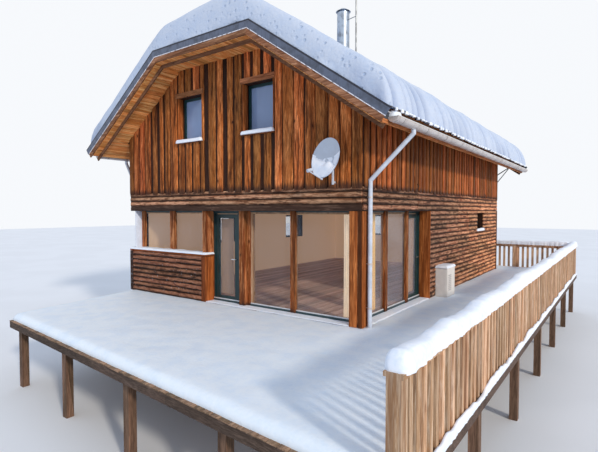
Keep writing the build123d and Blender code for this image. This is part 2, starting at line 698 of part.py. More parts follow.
# Straps that carry a gutter from the eave board
def straps(side, out):
    face = CENTRE + side * (CENTRE + out)
    middle = face + side * (GUTTER_R + CLEAR)
    y0 = FRONT_Y + GUTTER_SET + GUTTER_R
    step = (REAR_Y - GUTTER_R - y0) / (STRAP_COUNT - 1)
    size = 2 * (GUTTER_R + STRAP_T)
    pieces = []
    for index in range(STRAP_COUNT):
        hoop = Cylinder(GUTTER_R + STRAP_T, STRAP_W) - Cylinder(GUTTER_R, STRAP_W)
        hoop = Pos(middle, y0 + index * step, GUTTER_TOP_Z) * Rot(90, 0, 0) * hoop
        hoop -= block(middle - size, middle + size, FRONT_Y, REAR_Y, GUTTER_TOP_Z, GUTTER_TOP_Z + size)
        hoop -= block(min(face, face - side * size), max(face, face - side * size), FRONT_Y, REAR_Y, 0, TOP_Z)
        pieces.append(hoop)
    return pieces


# Two struts from the rear corner of the wall up to the eave, on each side
def braces():
    pieces = []
    for side, out in ((-1, EAVE_OUT_LEFT), (1, EAVE_OUT_RIGHT)):
        wall = CENTRE + side * CENTRE
        foot = wall - side * BRACE_T
        head = wall + side * BRACE_OUT
        under = roof_top(head) - ROOF_DEPTH
        half = BRACE_T / 2
        low = [(foot, BRACE_LOW_Z), (head, under - half), (head, under + half), (foot, BRACE_LOW_Z + BRACE_T)]
        high = [(foot, BRACE_HIGH_Z), (head, under - half), (head, under + half), (foot, BRACE_HIGH_Z + BRACE_T)]
        y0 = HOUSE_D + CLADDING_LAP
        strut = along_y(low, y0, y0 + BRACE_T) + along_y(high, y0, y0 + BRACE_T)
        pieces.append(strut)
    parts["eave_braces"] = group(*[piece & under_roof(ROOF_DEPTH, 0, HOUSE_D + OVERSIZE) for piece in pieces])


# Everything above the right-hand slope near the flue
def over_slope():
    low, high = CENTRE, HOUSE_W
    outline = [(low, roof_top(low)), (high, roof_top(high)), (high, TOP_Z), (low, TOP_Z)]
    return along_y(outline, FLUE_Y - OVERSIZE, FLUE_Y + OVERSIZE)


# Flue with a rain cap, and a mast tied to it
def flue_and_mast():
    foot = roof_top(FLUE_X) - FLUE_BURIED
    body = Pos(FLUE_X, FLUE_Y, (foot + FLUE_TOP_Z) / 2) * Cylinder(FLUE_R, FLUE_TOP_Z - foot)
    cap_z = FLUE_TOP_Z + FLUE_NECK_H + FLUE_CAP_H / 2
    cap = Pos(FLUE_X, FLUE_Y, cap_z) * Cone(FLUE_R + FLUE_CAP_OUT, FLUE_R - FLUE_CAP_IN, FLUE_CAP_H)
    neck = Pos(FLUE_X, FLUE_Y, FLUE_TOP_Z + FLUE_NECK_H / 2) * Cylinder(FLUE_R - FLUE_NECK_SET, FLUE_NECK_H)
    parts["flue"] = (body + cap + neck) & over_slope()
    mast = Pos(MAST_X, MAST_Y, (foot + MAST_TOP_Z) / 2) * Cylinder(MAST_R, MAST_TOP_Z - foot)
    mast = mast & over_slope()
    tie_z = FLUE_TOP_Z - STAY_DROP
    stay = pipe([(FLUE_X, FLUE_Y, tie_z), (MAST_X, MAST_Y, tie_z)], STAY_R)
    parts["mast"] = (mast + stay) - Pos(FLUE_X, FLUE_Y, FLUE_TOP_Z) * Cylinder(FLUE_R, OVERSIZE)


def dish():
    bowl_r = (DISH_R ** 2 + DISH_DEPTH ** 2) / (2 * DISH_DEPTH)
    shell = Sphere(bowl_r) - Sphere(bowl_r - DISH_T)
    keep = Pos(0, 0, DISH_DEPTH / 2 - bowl_r) * Box(3 * DISH_R, 3 * DISH_R, DISH_DEPTH)
    bowl = Pos(0, 0, bowl_r) * (shell & keep)
    aim = Pos(DISH_X, -DISH_OUT, DISH_Z) * Rot(0, 0, DISH_TURN) * Rot(90 - DISH_LIFT, 0, 0)
    parts["dish"] = aim * bowl
    hub = Pos(0, 0, -35.3) * Cylinder(48, 70)
    lug = Pos(0, -DISH_R - 16.4, DISH_DEPTH - 2) * Box(34, 32, 24)
    arm = pipe([(0, -DISH_R - 18, DISH_DEPTH), (0, -DISH_R + 40, 380)], 11)
    lnb = Pos(0, -DISH_R + 62, 372) * Rot(28, 0, 0) * Cylinder(30, 110)
    feed = aim * (lug + arm + lnb)
    hub = aim * hub
    back = (aim * Pos(0, 0, -55)).position
    pole_y = -CLADDING_LAP - 90
    foot_z = back.Z - DISH_POLE_DROP
    neck = pipe([(back.X, back.Y, back.Z), (back.X, pole_y, back.Z)], DISH_POLE_R - 5)
    pole = Pos(back.X, pole_y, (back.Z + foot_z) / 2) * Cylinder(DISH_POLE_R, back.Z - foot_z + 2 * DISH_POLE_R)
    bar = block(back.X - 18, back.X + 18, pole_y, -CLADDING_LAP - 10, foot_z, foot_z + 40)
    plate = block(back.X - 55, back.X + 55, -CLADDING_LAP - 10, -CLADDING_LAP, foot_z - 60, foot_z + 110)
    bracket = hub + neck + pole + bar + plate
    parts["dish_mount"] = group(feed, bracket)


def utility_box():
    body = block(HOUSE_W, HOUSE_W + BOX_D, BOX_Y, BOX_Y + BOX_L, 0, BOX_H)
    parts["utility_box"] = body


# Deck fields in plan, clear of the house and of each other by a named gap
def deck_fields():
    right = HOUSE_W + DECK_RIGHT_OUT
    rear = HOUSE_D + DECK_REAR_OUT
    side_x = HOUSE_W + DECK_GAP
    back_y = HOUSE_D + DECK_GAP
    front = [(DECK_LEFT_SET, front_edge(DECK_LEFT_SET)), (right, front_edge(right)), (right, -DECK_GAP),
             (0, -DECK_GAP)]
    side = [(side_x, 0), (right, 0), (right, HOUSE_D), (side_x, HOUSE_D)]
    back = [(0, back_y), (right, back_y), (right, rear), (0, rear)]
    return front, side, back


def front_edge(x):
    slope = (DECK_FRONT_RIGHT - DECK_FRONT_LEFT) / (HOUSE_W + DECK_RIGHT_OUT - DECK_LEFT_SET)
    return -DECK_FRONT_LEFT - (x - DECK_LEFT_SET) * slope


def deck():
    parts["deck_boards"] = group(*[upright(field, -DECK_T, 0) for field in deck_fields()])
    right = HOUSE_W + DECK_RIGHT_OUT
    rear = HOUSE_D + DECK_REAR_OUT
    y_left, y_right = front_edge(DECK_LEFT_SET), front_edge(right)
    front = upright([(DECK_LEFT_SET, y_left), (right, y_right), (right, y_right - RIM_T),
                     (DECK_LEFT_SET, y_left - RIM_T)], -DECK_T - RIM_H, -RIM_DROP)
    side = block(right, right + RIM_T, y_right - RIM_T, rear + RIM_T, -DECK_T - RIM_H, -RIM_DROP)
    back = block(0, right, rear, rear + RIM_T, -DECK_T - RIM_H, -RIM_DROP)
    parts["deck_rim"] = front + side + back
    top = -DECK_T
    low = top - BEAM_H
    beams = []
    x_end = right - BEAM_SET
    y_end = rear - BEAM_SET
    y_left, y_right = y_left + FRONT_BEAM_SET, y_right + FRONT_BEAM_SET
    slant = [(DECK_LEFT_SET + BEAM_SET, y_left), (x_end, y_right), (x_end, y_right + BEAM_T),
             (DECK_LEFT_SET + BEAM_SET, y_left + BEAM_T)]
    front_beam = upright(slant, low, top)
    right_beam = block(x_end - BEAM_T, x_end, y_right + 2 * BEAM_T, y_end, low, top)
    inner_x = HOUSE_W + BEAM_SET
    inner_beam = block(inner_x, inner_x + BEAM_T, -WALL_BEAM_OUT, y_end - 2 * BEAM_T, low, top)
    rear_beam = block(BEAM_SET, HOUSE_W - BEAM_SET, y_end - BEAM_T, y_end, low, top)
    wall_beam = block(BEAM_T, HOUSE_W - BEAM_T, -WALL_BEAM_OUT - BEAM_T, -WALL_BEAM_OUT, low, top)
    parts["deck_beams"] = group(front_beam, right_beam, inner_beam, rear_beam, wall_beam)
    posts = []
    for x, y in post_places():
        posts.append(block(x - POST_W / 2, x + POST_W / 2, y - POST_W / 2, y + POST_W / 2, GROUND_Z, low))
    parts["deck_posts"] = group(*posts)


def spaced(first, last, bays):
    return [first + (last - first) * index / bays for index in range(bays + 1)]


def rail_posts():
    return spaced(-DECK_FRONT_RIGHT + RAIL_POST_W / 2, HOUSE_D + DECK_REAR_OUT - RAIL_POST_W / 2, RAIL_BAYS)


# Deck posts under the beams, those at the railed side under the railing posts
def post_places():
    half = BEAM_T / 2
    right = HOUSE_W + DECK_RIGHT_OUT - BEAM_SET - half
    rear = HOUSE_D + DECK_REAR_OUT - BEAM_SET - half
    rows = rail_posts()
    places = [(right, y) for y in rows[1:-1]] + [(right, rear)]
    for x in spaced(DECK_LEFT_SET + POST_END_SET, right, FRONT_POST_BAYS):
        places.append((x, front_edge(x) + FRONT_BEAM_SET + half))
    for x in spaced(POST_END_SET, HOUSE_W - POST_END_SET, BACK_POST_BAYS):
        places.append((x, rear))
        places.append((x, -WALL_BEAM_OUT - half))
    for y in rows[2:-1]:
        places.append((HOUSE_W + BEAM_SET + half, y))
    return places


# Railing bays between posts, each bar and cap carried by them
def railing_run(length, posts, outward):
    rail = block(0, length, -RAIL_CAP_W / 2, RAIL_CAP_W / 2, RAIL_TOP - RAIL_CAP_T, RAIL_TOP)
    for spot in posts:
        rail += block(spot - RAIL_POST_W / 2, spot + RAIL_POST_W / 2, -RAIL_POST_W / 2, RAIL_POST_W / 2,
                      0, RAIL_TOP - RAIL_CAP_T)
    high = RAIL_TOP - RAIL_CAP_T
    rail += block(0, length, -RAIL_BAR_T / 2, RAIL_BAR_T / 2, high - RAIL_BAR_H, high)
    rail += block(0, length, -RAIL_BAR_T / 2, RAIL_BAR_T / 2, RAIL_FOOT_Z, RAIL_FOOT_Z + RAIL_BAR_H)
    face = outward * RAIL_BAR_T / 2
    far = outward * (RAIL_BAR_T / 2 + BALUSTER_T)
    y0, y1 = min(face, far), max(face, far)
    count = int((length - 2 * RAIL_POST_W) // BALUSTER_PITCH)
    start = (length - (count - 1) * BALUSTER_PITCH) / 2
    for index in range(count):
        spot = start + index * BALUSTER_PITCH
        rail += block(spot - BALUSTER_W / 2, spot + BALUSTER_W / 2, y0, y1, BALUSTER_LOW, high)
    return rail


def railings():
    right = HOUSE_W + DECK_RIGHT_OUT - RAIL_POST_W / 2
    rear = HOUSE_D + DECK_REAR_OUT - RAIL_POST_W / 2
    start = -DECK_FRONT_RIGHT
    length = rear + RAIL_POST_W / 2 - start
    run = railing_run(length, [y - start for y in rail_posts()], -1)
    parts["right_railing"] = Pos(right, start, 0) * Rot(0, 0, 90) * run
    length = right - RAIL_CAP_W / 2 - CLEAR - REAR_RAIL_START
    spots = spaced(RAIL_POST_W / 2, length, REAR_RAIL_BAYS)[:-1]
    parts["rear_railing"] = Pos(REAR_RAIL_START, rear, 0) * railing_run(length, spots, 1)


# Snow on one slope, thinner and rounded off towards the verges and the eave
def slope_snow(side):
    depth = SNOW_ROOF / COS
    out = (FLASHING_OUT_RIGHT if side > 0 else FLASHING_OUT_LEFT) - 2 * FASCIA_T
    y0, y1 = FRONT_Y + SNOW_RIM, REAR_Y - SNOW_RIM
    shape = [(y0, 0), (y0, SNOW_VERGE), (y0 + SNOW_SHOULDER, depth)]
    shape += [(y1 - SNOW_SHOULDER, depth), (y1, SNOW_VERGE), (y1, 0)]
    face = make_face(Polyline(*[(CENTRE, y, RIDGE_Z + z) for y, z in shape], close=True))
    body = extrude(face, amount=(CENTRE + out) / COS, dir=(side * COS, 0, -COS * TAN))
    edge = CENTRE + side * (CENTRE + out)
    inner = edge - side * SNOW_SHOULDER
    past = edge + side * SNOW_SHOULDER
    fall = depth - SNOW_EAVE
    low = roof_top(edge) + SNOW_EAVE
    shoulder = [(inner, roof_top(inner) + depth), (edge, low), (past, low - fall), (past, TOP_Z), (inner, TOP_Z)]
    plan = slope_plan(side, out, FRONT_Y, REAR_Y)
    return (body & upright(plan, 0, TOP_Z)) - along_y(shoulder, FRONT_Y, REAR_Y)


def hip_snow():
    depth = SNOW_ROOF / COS
    y0 = FRONT_Y + SNOW_RIM
    y1 = y0 + SNOW_SHOULDER
    far = FRONT_Y + HIP_RUN
    plan = [(CENTRE - HIP_HALF, FRONT_Y), (CENTRE + HIP_HALF, FRONT_Y), (CENTRE, far)]
    outline = [(y0, hip_top(y0)), (y0, hip_top(y0) + SNOW_VERGE), (y1, hip_top(y1) + depth)]
    outline += [(far, RIDGE_Z + depth), (far, RIDGE_Z)]
    return upright(plan, 0, TOP_Z) & along_x(outline, 0, HOUSE_W)


def hip_top(y):
    return HALF_HIP_TOP + (y - FRONT_Y) * HIP_TAN


# Settled snow with its upper edges rounded off
def mound(solid, round_off):
    top = solid.edges().group_by(Axis.Z)[-1]
    return chamfer(top, round_off)


# Snow lying on the roof, the deck, the railings, the sills and the box
def snow():
    tall = 2 * TOP_Z
    trim = Pos(FLUE_X, FLUE_Y, FLUE_TOP_Z) * Cylinder(FLUE_R + CLEAR, tall)
    trim += Pos(MAST_X, MAST_Y, FLUE_TOP_Z) * Cylinder(MAST_R + CLEAR, tall)
    parts["roof_snow_left"] = slope_snow(-1) - trim
    parts["roof_snow_right"] = slope_snow(1) - trim
    hip = hip_snow()
    parts["roof_snow_hips"] = group(hip, mirror_rear(hip))
    inner = HOUSE_W + DECK_RIGHT_OUT - RAIL_POST_W - SNOW_DECK_SET
    rear = HOUSE_D + DECK_REAR_OUT - RAIL_POST_W - SNOW_DECK_SET
    x_wall = HOUSE_W + BOX_D + 2 * SNOW_DECK_SET
    left = DECK_LEFT_SET + SNOW_DECK_SET
    front = upright([(left, front_edge(left) + SNOW_DECK_SET), (inner, front_edge(inner) + SNOW_DECK_SET),
                     (inner, -SNOW_WALL_GAP), (SNOW_DECK_SET, -SNOW_WALL_GAP)], 0, SNOW_DECK)
    side = block(x_wall, inner, -SNOW_WALL_GAP, rear, 0, SNOW_DECK)
    back = block(SNOW_DECK_SET, x_wall, HOUSE_D + SNOW_WALL_GAP, rear, 0, SNOW_DECK)
    parts["deck_snow"] = mound(front + side + back, SNOW_ROUND)
    right = HOUSE_W + DECK_RIGHT_OUT - RAIL_POST_W / 2
    back_y = HOUSE_D + DECK_REAR_OUT - RAIL_POST_W / 2
    half = RAIL_CAP_W / 2
    low, high = RAIL_TOP, RAIL_TOP + SNOW_RAIL
    long_cap = block(right - half, right + half, -DECK_FRONT_RIGHT, back_y + RAIL_POST_W / 2, low, high)
    short_cap = block(REAR_RAIL_START, right - half - CLEAR, back_y - half, back_y + half, low, high)
    parts["rail_snow"] = group(mound(long_cap, SNOW_ROUND), mound(short_cap, SNOW_ROUND))
    box_snow = block(HOUSE_W + CLEAR, HOUSE_W + BOX_D, BOX_Y, BOX_Y + BOX_L, BOX_H, BOX_H + SNOW_SILL)
    pieces = [mound(box_snow, SNOW_SILL / 2)]
    for side in (-1, 1):
        pieces.append(upper_sill(side, UPPER_WINDOW_Z, UPPER_WINDOW_Z + SNOW_SILL))
    pieces.append(slot_sill(SLOT_Z, SLOT_Z + SNOW_SILL))
    parts["ledge_snow"] = group(*pieces)


def main():
    plinths()
    floors()
    lower_walls()
    fins()
    bands()
    upper_walls()
    fixed_glazing()
    small_windows()
    parts["door_hinges"] = group(*front_door(), *side_door())
    sills()
    roof()
    soffits()
    verge_trim()
    eaves()
    downpipes()
    braces()
    flue_and_mast()
    dish()
    utility_box()
    deck()
    railings()
    snow()
    os.makedirs("parts", exist_ok=True)
    boxes = [shape.bounding_box() for shape in parts.values()]
    x_mid = (min(b.min.X for b in boxes) + max(b.max.X for b in boxes)) / 2
    y_mid = (min(b.min.Y for b in boxes) + max(b.max.Y for b in boxes)) / 2
    for name, shape in parts.items():
        export_step(Pos(-x_mid, -y_mid, -GROUND_Z) * shape, f"parts/{name}.step")
    print(len(parts), "nodes, shift", round(x_mid, 2), round(y_mid, 2), -GROUND_Z)


main()
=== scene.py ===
import bpy
import bmesh
import math
import random
from bpy.props import FloatProperty, FloatVectorProperty, IntProperty, PointerProperty
from bpy.types import Operator, Panel, PropertyGroup
from mathutils import Matrix, Vector, noise


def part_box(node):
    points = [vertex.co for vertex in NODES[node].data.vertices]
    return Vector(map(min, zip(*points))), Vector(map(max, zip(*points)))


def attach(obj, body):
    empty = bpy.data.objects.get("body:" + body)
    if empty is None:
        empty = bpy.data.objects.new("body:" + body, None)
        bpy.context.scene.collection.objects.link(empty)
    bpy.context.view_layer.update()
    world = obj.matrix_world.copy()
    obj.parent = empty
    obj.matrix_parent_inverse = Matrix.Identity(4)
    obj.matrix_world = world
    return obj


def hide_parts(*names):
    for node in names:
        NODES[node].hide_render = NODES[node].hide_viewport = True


bl_info = {
    "name": "Snowy Chalet Dressing",
    "version": (1, 0, 0),
    "blender": (4, 5, 0),
    "location": "3D View > Sidebar > Chalet",
    "description": "Timber boards, settled snow, metal and glass finishes for a snow-covered alpine chalet",
    "category": "Object",
}

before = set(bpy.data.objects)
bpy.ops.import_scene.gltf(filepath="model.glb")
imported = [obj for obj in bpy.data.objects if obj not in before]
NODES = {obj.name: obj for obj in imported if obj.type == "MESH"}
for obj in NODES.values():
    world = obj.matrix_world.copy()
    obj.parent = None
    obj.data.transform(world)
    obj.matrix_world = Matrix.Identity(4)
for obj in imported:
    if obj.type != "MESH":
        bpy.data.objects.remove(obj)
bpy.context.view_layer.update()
UP = Vector((0, 0, 1))

# House coordinates start at the front left corner, on top of the deck boards
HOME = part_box("ground_floor")[0]


def low_of(name):
    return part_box(name)[0] - HOME


def high_of(name):
    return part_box(name)[1] - HOME


# Walls and storeys
WIDTH, DEPTH = high_of("ground_floor").xy
CENTRE = WIDTH / 2
FLOOR_Z = low_of("parapet").z
BAND_LOW, BAND_TOP = low_of("storey_band_gables").z, high_of("storey_band_gables").z
GABLE_LAP = -low_of("front_gable").x
RECESS = low_of("front_door_frame").y
WALL_T = high_of("left_wall").x
PARAPET = high_of("parapet")
POST = low_of("corner_post")
FRONT_DOOR = (low_of("front_door_frame").x, high_of("front_door_frame").x)
PIER_END = high_of("door_pier").x
SIDE_DOOR_END = high_of("side_door_frame").y
COURSE = (BAND_LOW - FLOOR_Z) / 18

# Roof
PITCH = math.radians(35)
TAN, COS, SIN = math.tan(PITCH), math.cos(PITCH), math.sin(PITCH)
HIP_TAN = math.tan(math.radians(40))
ROOF_THICK = 0.336
RIDGE_Z = high_of("roof_left").z
VERGE_Y = low_of("barge_boards").y
HALF_HIP_Z = high_of("verge_flashings").z
SOFFIT_Z = RIDGE_Z - ROOF_THICK - CENTRE * TAN
HIP_SOFFIT_Z = low_of("hip_soffits").z
SNOW_INSET = 0.01
EAVE_LEFT, EAVE_RIGHT = low_of("roof_left").x + SNOW_INSET, high_of("roof_right").x - SNOW_INSET
FOLD_PITCH = 0.36
GUTTER_TOP = high_of("gutters").z

# Deck: its front edge runs askew from the left corner to the right one
DECK_RIGHT, DECK_REAR = high_of("deck_boards").xy
DECK_FRONT = low_of("deck_boards").y
DECK_LEFT, DECK_LEFT_FRONT = 0.53, -3.17

# Openings as (start, end, low, high) along the wall
UPPER_WINDOWS = [(2.00, 2.84, 3.87, 4.94), (4.11, 4.95, 3.87, 4.94)]
LEFT_WINDOWS = [(2.60, 3.70, 1.24, 2.09), (6.40, 7.50, 1.24, 2.09)]
REAR_WINDOWS = [(1.50, 2.60, 1.24, 2.09), (4.30, 5.40, 1.24, 2.09)]
SLOT_WINDOW = [(7.62, 8.38, 1.62, 2.18)]

# Left and right edges of the raised boards of the gable, seen from the front
GABLE_BOARDS = [
    (0.02, 0.17), (0.22, 0.42), (0.47, 0.66), (0.71, 0.90), (1.01, 1.17), (1.31, 1.42), (1.51, 1.68),
    (1.73, 1.96), (2.03, 2.21), (2.27, 2.46), (2.54, 2.74), (2.80, 2.90), (3.06, 3.27), (3.33, 3.50),
    (3.65, 3.81), (3.88, 4.06), (4.16, 4.31), (4.41, 4.59), (4.70, 4.88), (4.99, 5.16), (5.19, 5.44),
    (5.47, 5.69), (5.73, 5.95), (5.98, 6.23), (6.26, 6.49), (6.51, 6.73), (6.76, 6.96),
]

# Cross-sections of a board as (share of width, share of thickness)
FLAT = ((0, 0), (0, 0.8), (0.03, 1), (0.97, 1), (1, 0.8), (1, 0))
LOG = ((0, 0), (0, 0.3), (0.10, 0.72), (0.30, 0.97), (0.55, 1), (0.80, 0.82), (0.94, 0.5), (1, 0.15), (1, 0))
LAP = ((0, 0), (0, 0.85), (0.06, 1), (0.5, 0.8), (0.95, 0.5), (1, 0.35), (1, 0))
WORN = ((0, 0), (0, 0.62), (0.07, 0.9), (0.22, 1), (0.62, 0.97), (0.84, 0.74), (0.96, 0.42), (1, 0.15),
        (1, 0))


# Settings
def length(name, description, default, low, high):
    return FloatProperty(name=name, description=description, default=default, min=low, max=high,
                         unit="LENGTH")


def colour(name, description, default):
    return FloatVectorProperty(name=name, description=description, default=default, min=0, max=1,
                               subtype="COLOR")


class ChaletBoards(PropertyGroup):
    overlay: length("Overlay", "Thickness of the raised gable boards", 0.034, 0.005, 0.04)
    lap: length("Lap", "Thickness of a level wall board", 0.030, 0.005, 0.04)
    soffit_width: length("Soffit Board", "Width of one soffit board", 0.12, 0.05, 0.3)
    side_pitch: length("Side Board Pitch", "Spacing of the raised boards of the long walls", 0.235, 0.12, 0.5)
    sway: FloatProperty(name="Sway", description="Share of its width that a rough board's edge wanders",
                        default=0.03, min=0, max=0.2, subtype="FACTOR")


class ChaletSnow(PropertyGroup):
    roof_depth: length("Roof Snow", "Upright depth of snow on the roof slopes", 0.51, 0.05, 1)
    shoulder: length("Shoulder", "Distance over which the snow rounds off to its rim", 0.46, 0.05, 1)
    flute: length("Flutes", "Depth of the folds that run down the slopes", 0.16, 0, 0.3)
    deck_depth: length("Deck Snow", "Depth of snow on the deck", 0.15, 0.02, 0.4)
    rail_depth: length("Rail Snow", "Depth of snow on the railing caps", 0.165, 0.02, 0.3)
    seed: IntProperty(name="Seed", description="Start of the snow's uneven shape", default=7, min=0, max=1000)


class ChaletColours(PropertyGroup):
    gable_wood: colour("Gable Boards", "Main colour of the gable boards", (0.60, 0.158, 0.031))
    wall_wood: colour("Wall Boards", "Main colour of the lower wall boards", (0.225, 0.079, 0.033))
    post_wood: colour("Posts", "Main colour of the posts, sills and trim boards", (0.27, 0.068, 0.014))
    soffit_wood: colour("Soffit Boards", "Main colour of the soffit boards", (0.72, 0.245, 0.058))
    rail_wood: colour("Railings", "Main colour of the railings", (0.62, 0.37, 0.21))
    deck_wood: colour("Deck Boards", "Main colour of the deck boards", (0.30, 0.19, 0.12))
    green_paint: colour("Green Paint", "Paint of the doors and window frames", (0.005, 0.030, 0.034))
    snow: colour("Snow", "Colour of the snow", (0.88, 0.92, 1.0))


class ChaletLight(PropertyGroup):
    sun: FloatProperty(name="Sun", description="Strength of the warm key light", default=2.1, min=0, max=10)
    sun_height: FloatProperty(name="Sun Height", description="Height of the key light above the floor",
                              default=math.radians(24), min=0, max=math.radians(90), subtype="ANGLE")
    sun_turn: FloatProperty(name="Sun Turn", description="Turn of the light from the right to the front",
                            default=math.radians(22), min=-math.pi, max=math.pi, subtype="ANGLE")
    sky: FloatProperty(name="Sky", description="Strength of the light from all round", default=0.79, min=0,
                       max=5)
    floor: colour("Floor", "Colour of the studio floor", (0.84, 0.86, 0.90))


# Node helpers
class Signal:
    """An output of a node; calculating with it adds Math nodes to its tree."""

    def __init__(self, socket):
        self.socket = socket
        self.tree = socket.id_data

    def __add__(self, other):
        return maths("ADD", self, other)

    def __sub__(self, other):
        return maths("SUBTRACT", self, other)

    def __rsub__(self, other):
        return maths("SUBTRACT", other, self)

    def __mul__(self, other):
        return maths("MULTIPLY", self, other)

    def __truediv__(self, other):
        return maths("DIVIDE", self, other)


def tree_of(*values):
    return next(value.tree for value in values if isinstance(value, Signal))


def feed(node, inputs):
    """Links each signal to the input it is named for, and sets each plain value on it."""
    for key, value in inputs.items():
        if isinstance(value, Signal):
            node.id_data.links.new(value.socket, node.inputs[key])
        else:
            node.inputs[key].default_value = value


def new_node(tree, kind, inputs, **settings):
    made = tree.nodes.new(kind)
    for name, value in settings.items():
        setattr(made, name, value)
    feed(made, inputs)
    return made


def add(tree, kind, inputs, output=0, **settings):
    return Signal(new_node(tree, kind, inputs, **settings).outputs[output])


def maths(operation, a, b=0.0, clamp=False):
    return add(tree_of(a, b), "ShaderNodeMath", {0: a, 1: b}, operation=operation, use_clamp=clamp)


def blend(share, a, b, kind="MIX"):
    factor, first, second, colour_out = 0, 6, 7, 2
    return add(tree_of(share, a, b), "ShaderNodeMix", {factor: share, first: a, second: b}, colour_out,
               data_type="RGBA", blend_type=kind)


def ease(value, low, high, to_low=0.0, to_high=1.0):
    spread = {"Value": value, "From Min": low, "From Max": high, "To Min": to_low, "To Max": to_high}
    return add(value.tree, "ShaderNodeMapRange", spread, interpolation_type="SMOOTHSTEP")


def noise_at(point, scale, detail=3.0, rough=0.55, warp=0.0):
    given = {"Vector": point, "Scale": scale, "Detail": detail, "Roughness": rough, "Distortion": warp}
    return add(point.tree, "ShaderNodeTexNoise", given)


def cell_at(point, scale, randomness):
    given = {"Vector": point, "Scale": scale, "Randomness": randomness}
    return add(point.tree, "ShaderNodeTexVoronoi", given, "Distance")


def stretched(point, scale):
    return add(point.tree, "ShaderNodeMapping", {"Vector": point, "Scale": scale})


def lengthwise(along, share):
    return tuple(share if axis == along else 1.0 for axis in "XYZ")


def vector_maths(operation, a, b):
    return add(tree_of(a, b), "ShaderNodeVectorMath", {0: a, 1: b}, operation=operation)


def xyz(point):
    return [Signal(socket) for socket in new_node(point.tree, "ShaderNodeSeparateXYZ", {0: point}).outputs]


def rgba(colour):
    return (*tuple(colour)[:3], 1.0)


def times(colour, share):
    return tuple(min(1.0, channel * share) for channel in tuple(colour)[:3])


# Effects: each becomes one node group and gets its inputs by name
def sawn_wood(given):
    """Fibres and growth bands along the board, bleached and damp patches, knots and a tone per board"""
    tone, dark, light = given["Board Tone"], given["Dark"], given["Light"]
    shift = add(tone.tree, "ShaderNodeCombineXYZ", {0: tone * 7.3, 1: tone * 3.1})
    point = vector_maths("ADD", given["Point"], shift)
    fibre = noise_at(point, 95, 4, 0.65, 0.3)
    bands = noise_at(point, 22, 3, 0.6, 1.2)
    broad = noise_at(point, 4.5, 3, 0.6)
    patch = noise_at(vector_maths("ADD", given["Patch Point"], shift), 13, 3, 0.6, 0.5)
    colour = blend(ease(bands, 0.46, 0.64, 0, 0.9), given["Main"], light)
    colour = blend(ease(broad, 0.52, 0.36, 0, 0.55), colour, dark)
    colour = blend(ease(patch, 0.52, 0.68) * given["Patches"], colour, light)
    colour = blend(ease(patch, 0.47, 0.34) * given["Patches"], colour, dark)
    colour = blend(ease(fibre, 0.60, 0.40) * given["Streaks"] * 0.8, colour, dark)
    far = cell_at(given["Knot Point"], 4, 1) + noise_at(given["Knot Point"], 9, 2, 0.5) * 0.05
    knot = ease(far, 0.115, 0.075) * given["Knots"]
    halo = ease(far, 0.20, 0.09, 0, 0.4) * given["Knots"]
    colour = blend(maths("MAXIMUM", knot, halo), colour, dark)
    spread = (tone - 0.5) * given["Contrast"]
    toned = add(tone.tree, "ShaderNodeHueSaturation", {
        "Hue": spread * -0.03 + 0.5, "Saturation": 1.0, "Value": spread * 2.0 + 1.0, "Fac": 1.0,
        "Color": colour})
    height = fibre * 0.6 + bands * 0.4 - knot * 0.35
    return {"Color": toned, "Roughness": ease(fibre, 0.3, 0.7, 0.85, 0.58), "Height": height}


def wet_foot(given):
    """Damp foot of upright boards: a ragged mask that fades out upwards"""
    rise = xyz(given["Point"])[2] - given["Foot"]
    tongues = noise_at(stretched(given["Point"], (1, 1, 0.12)), 26, 3, 0.6) - 0.35
    edge = given["Reach"] + tongues * given["Ragged"]
    return {"Mask": ease(rise / maths("MAXIMUM", edge, 0.01), 1.0, 0.25)}


def board_courses(given):
    """Painted highlight on the crown and painted shade at the foot of each level board, both ragged along it
    """
    part = maths("FRACT", (xyz(given["Point"])[2] - given["Base"]) / given["Pitch"])
    ragged = noise_at(given["Dash Point"], 16, 3, 0.6) * 0.5
    painted_crown = ease(maths("ABSOLUTE", part - 0.66), 0.26, 0.05, 0, 0.55)
    # Painted shade at the foot of each board
    foot = ease(part - ragged, 0.14, -0.02)
    return {"Crown": painted_crown * ease(ragged, 0.20, 0.30), "Foot": foot * given["Strength"]}


def board_tone(given):
    """A tone that steps from board to board along one axis of a piece that is one solid"""
    cell = maths("FLOOR", (given["Place"] - given["Start"]) / given["Pitch"])
    return {"Tone": add(cell.tree, "ShaderNodeTexWhiteNoise", {"W": cell}, "Value", noise_dimensions="1D")}


def snow_flecks(given):
    return {"Mask": ease(noise_at(given["Point"], 38, 2, 0.6), given["Least"], 0.74)}


def room_side(given):
    """Faces of the walls that look into the rooms: all that lies between two corners"""
    parts = xyz(vector_maths("SUBTRACT", given["Point"], given["Low"]))
    parts += xyz(vector_maths("SUBTRACT", given["High"], given["Point"]))
    mask = maths("GREATER_THAN", parts[0], 0.0)
    for part in parts[1:]:
        mask = mask * maths("GREATER_THAN", part, 0.0)
    return {"Mask": mask}


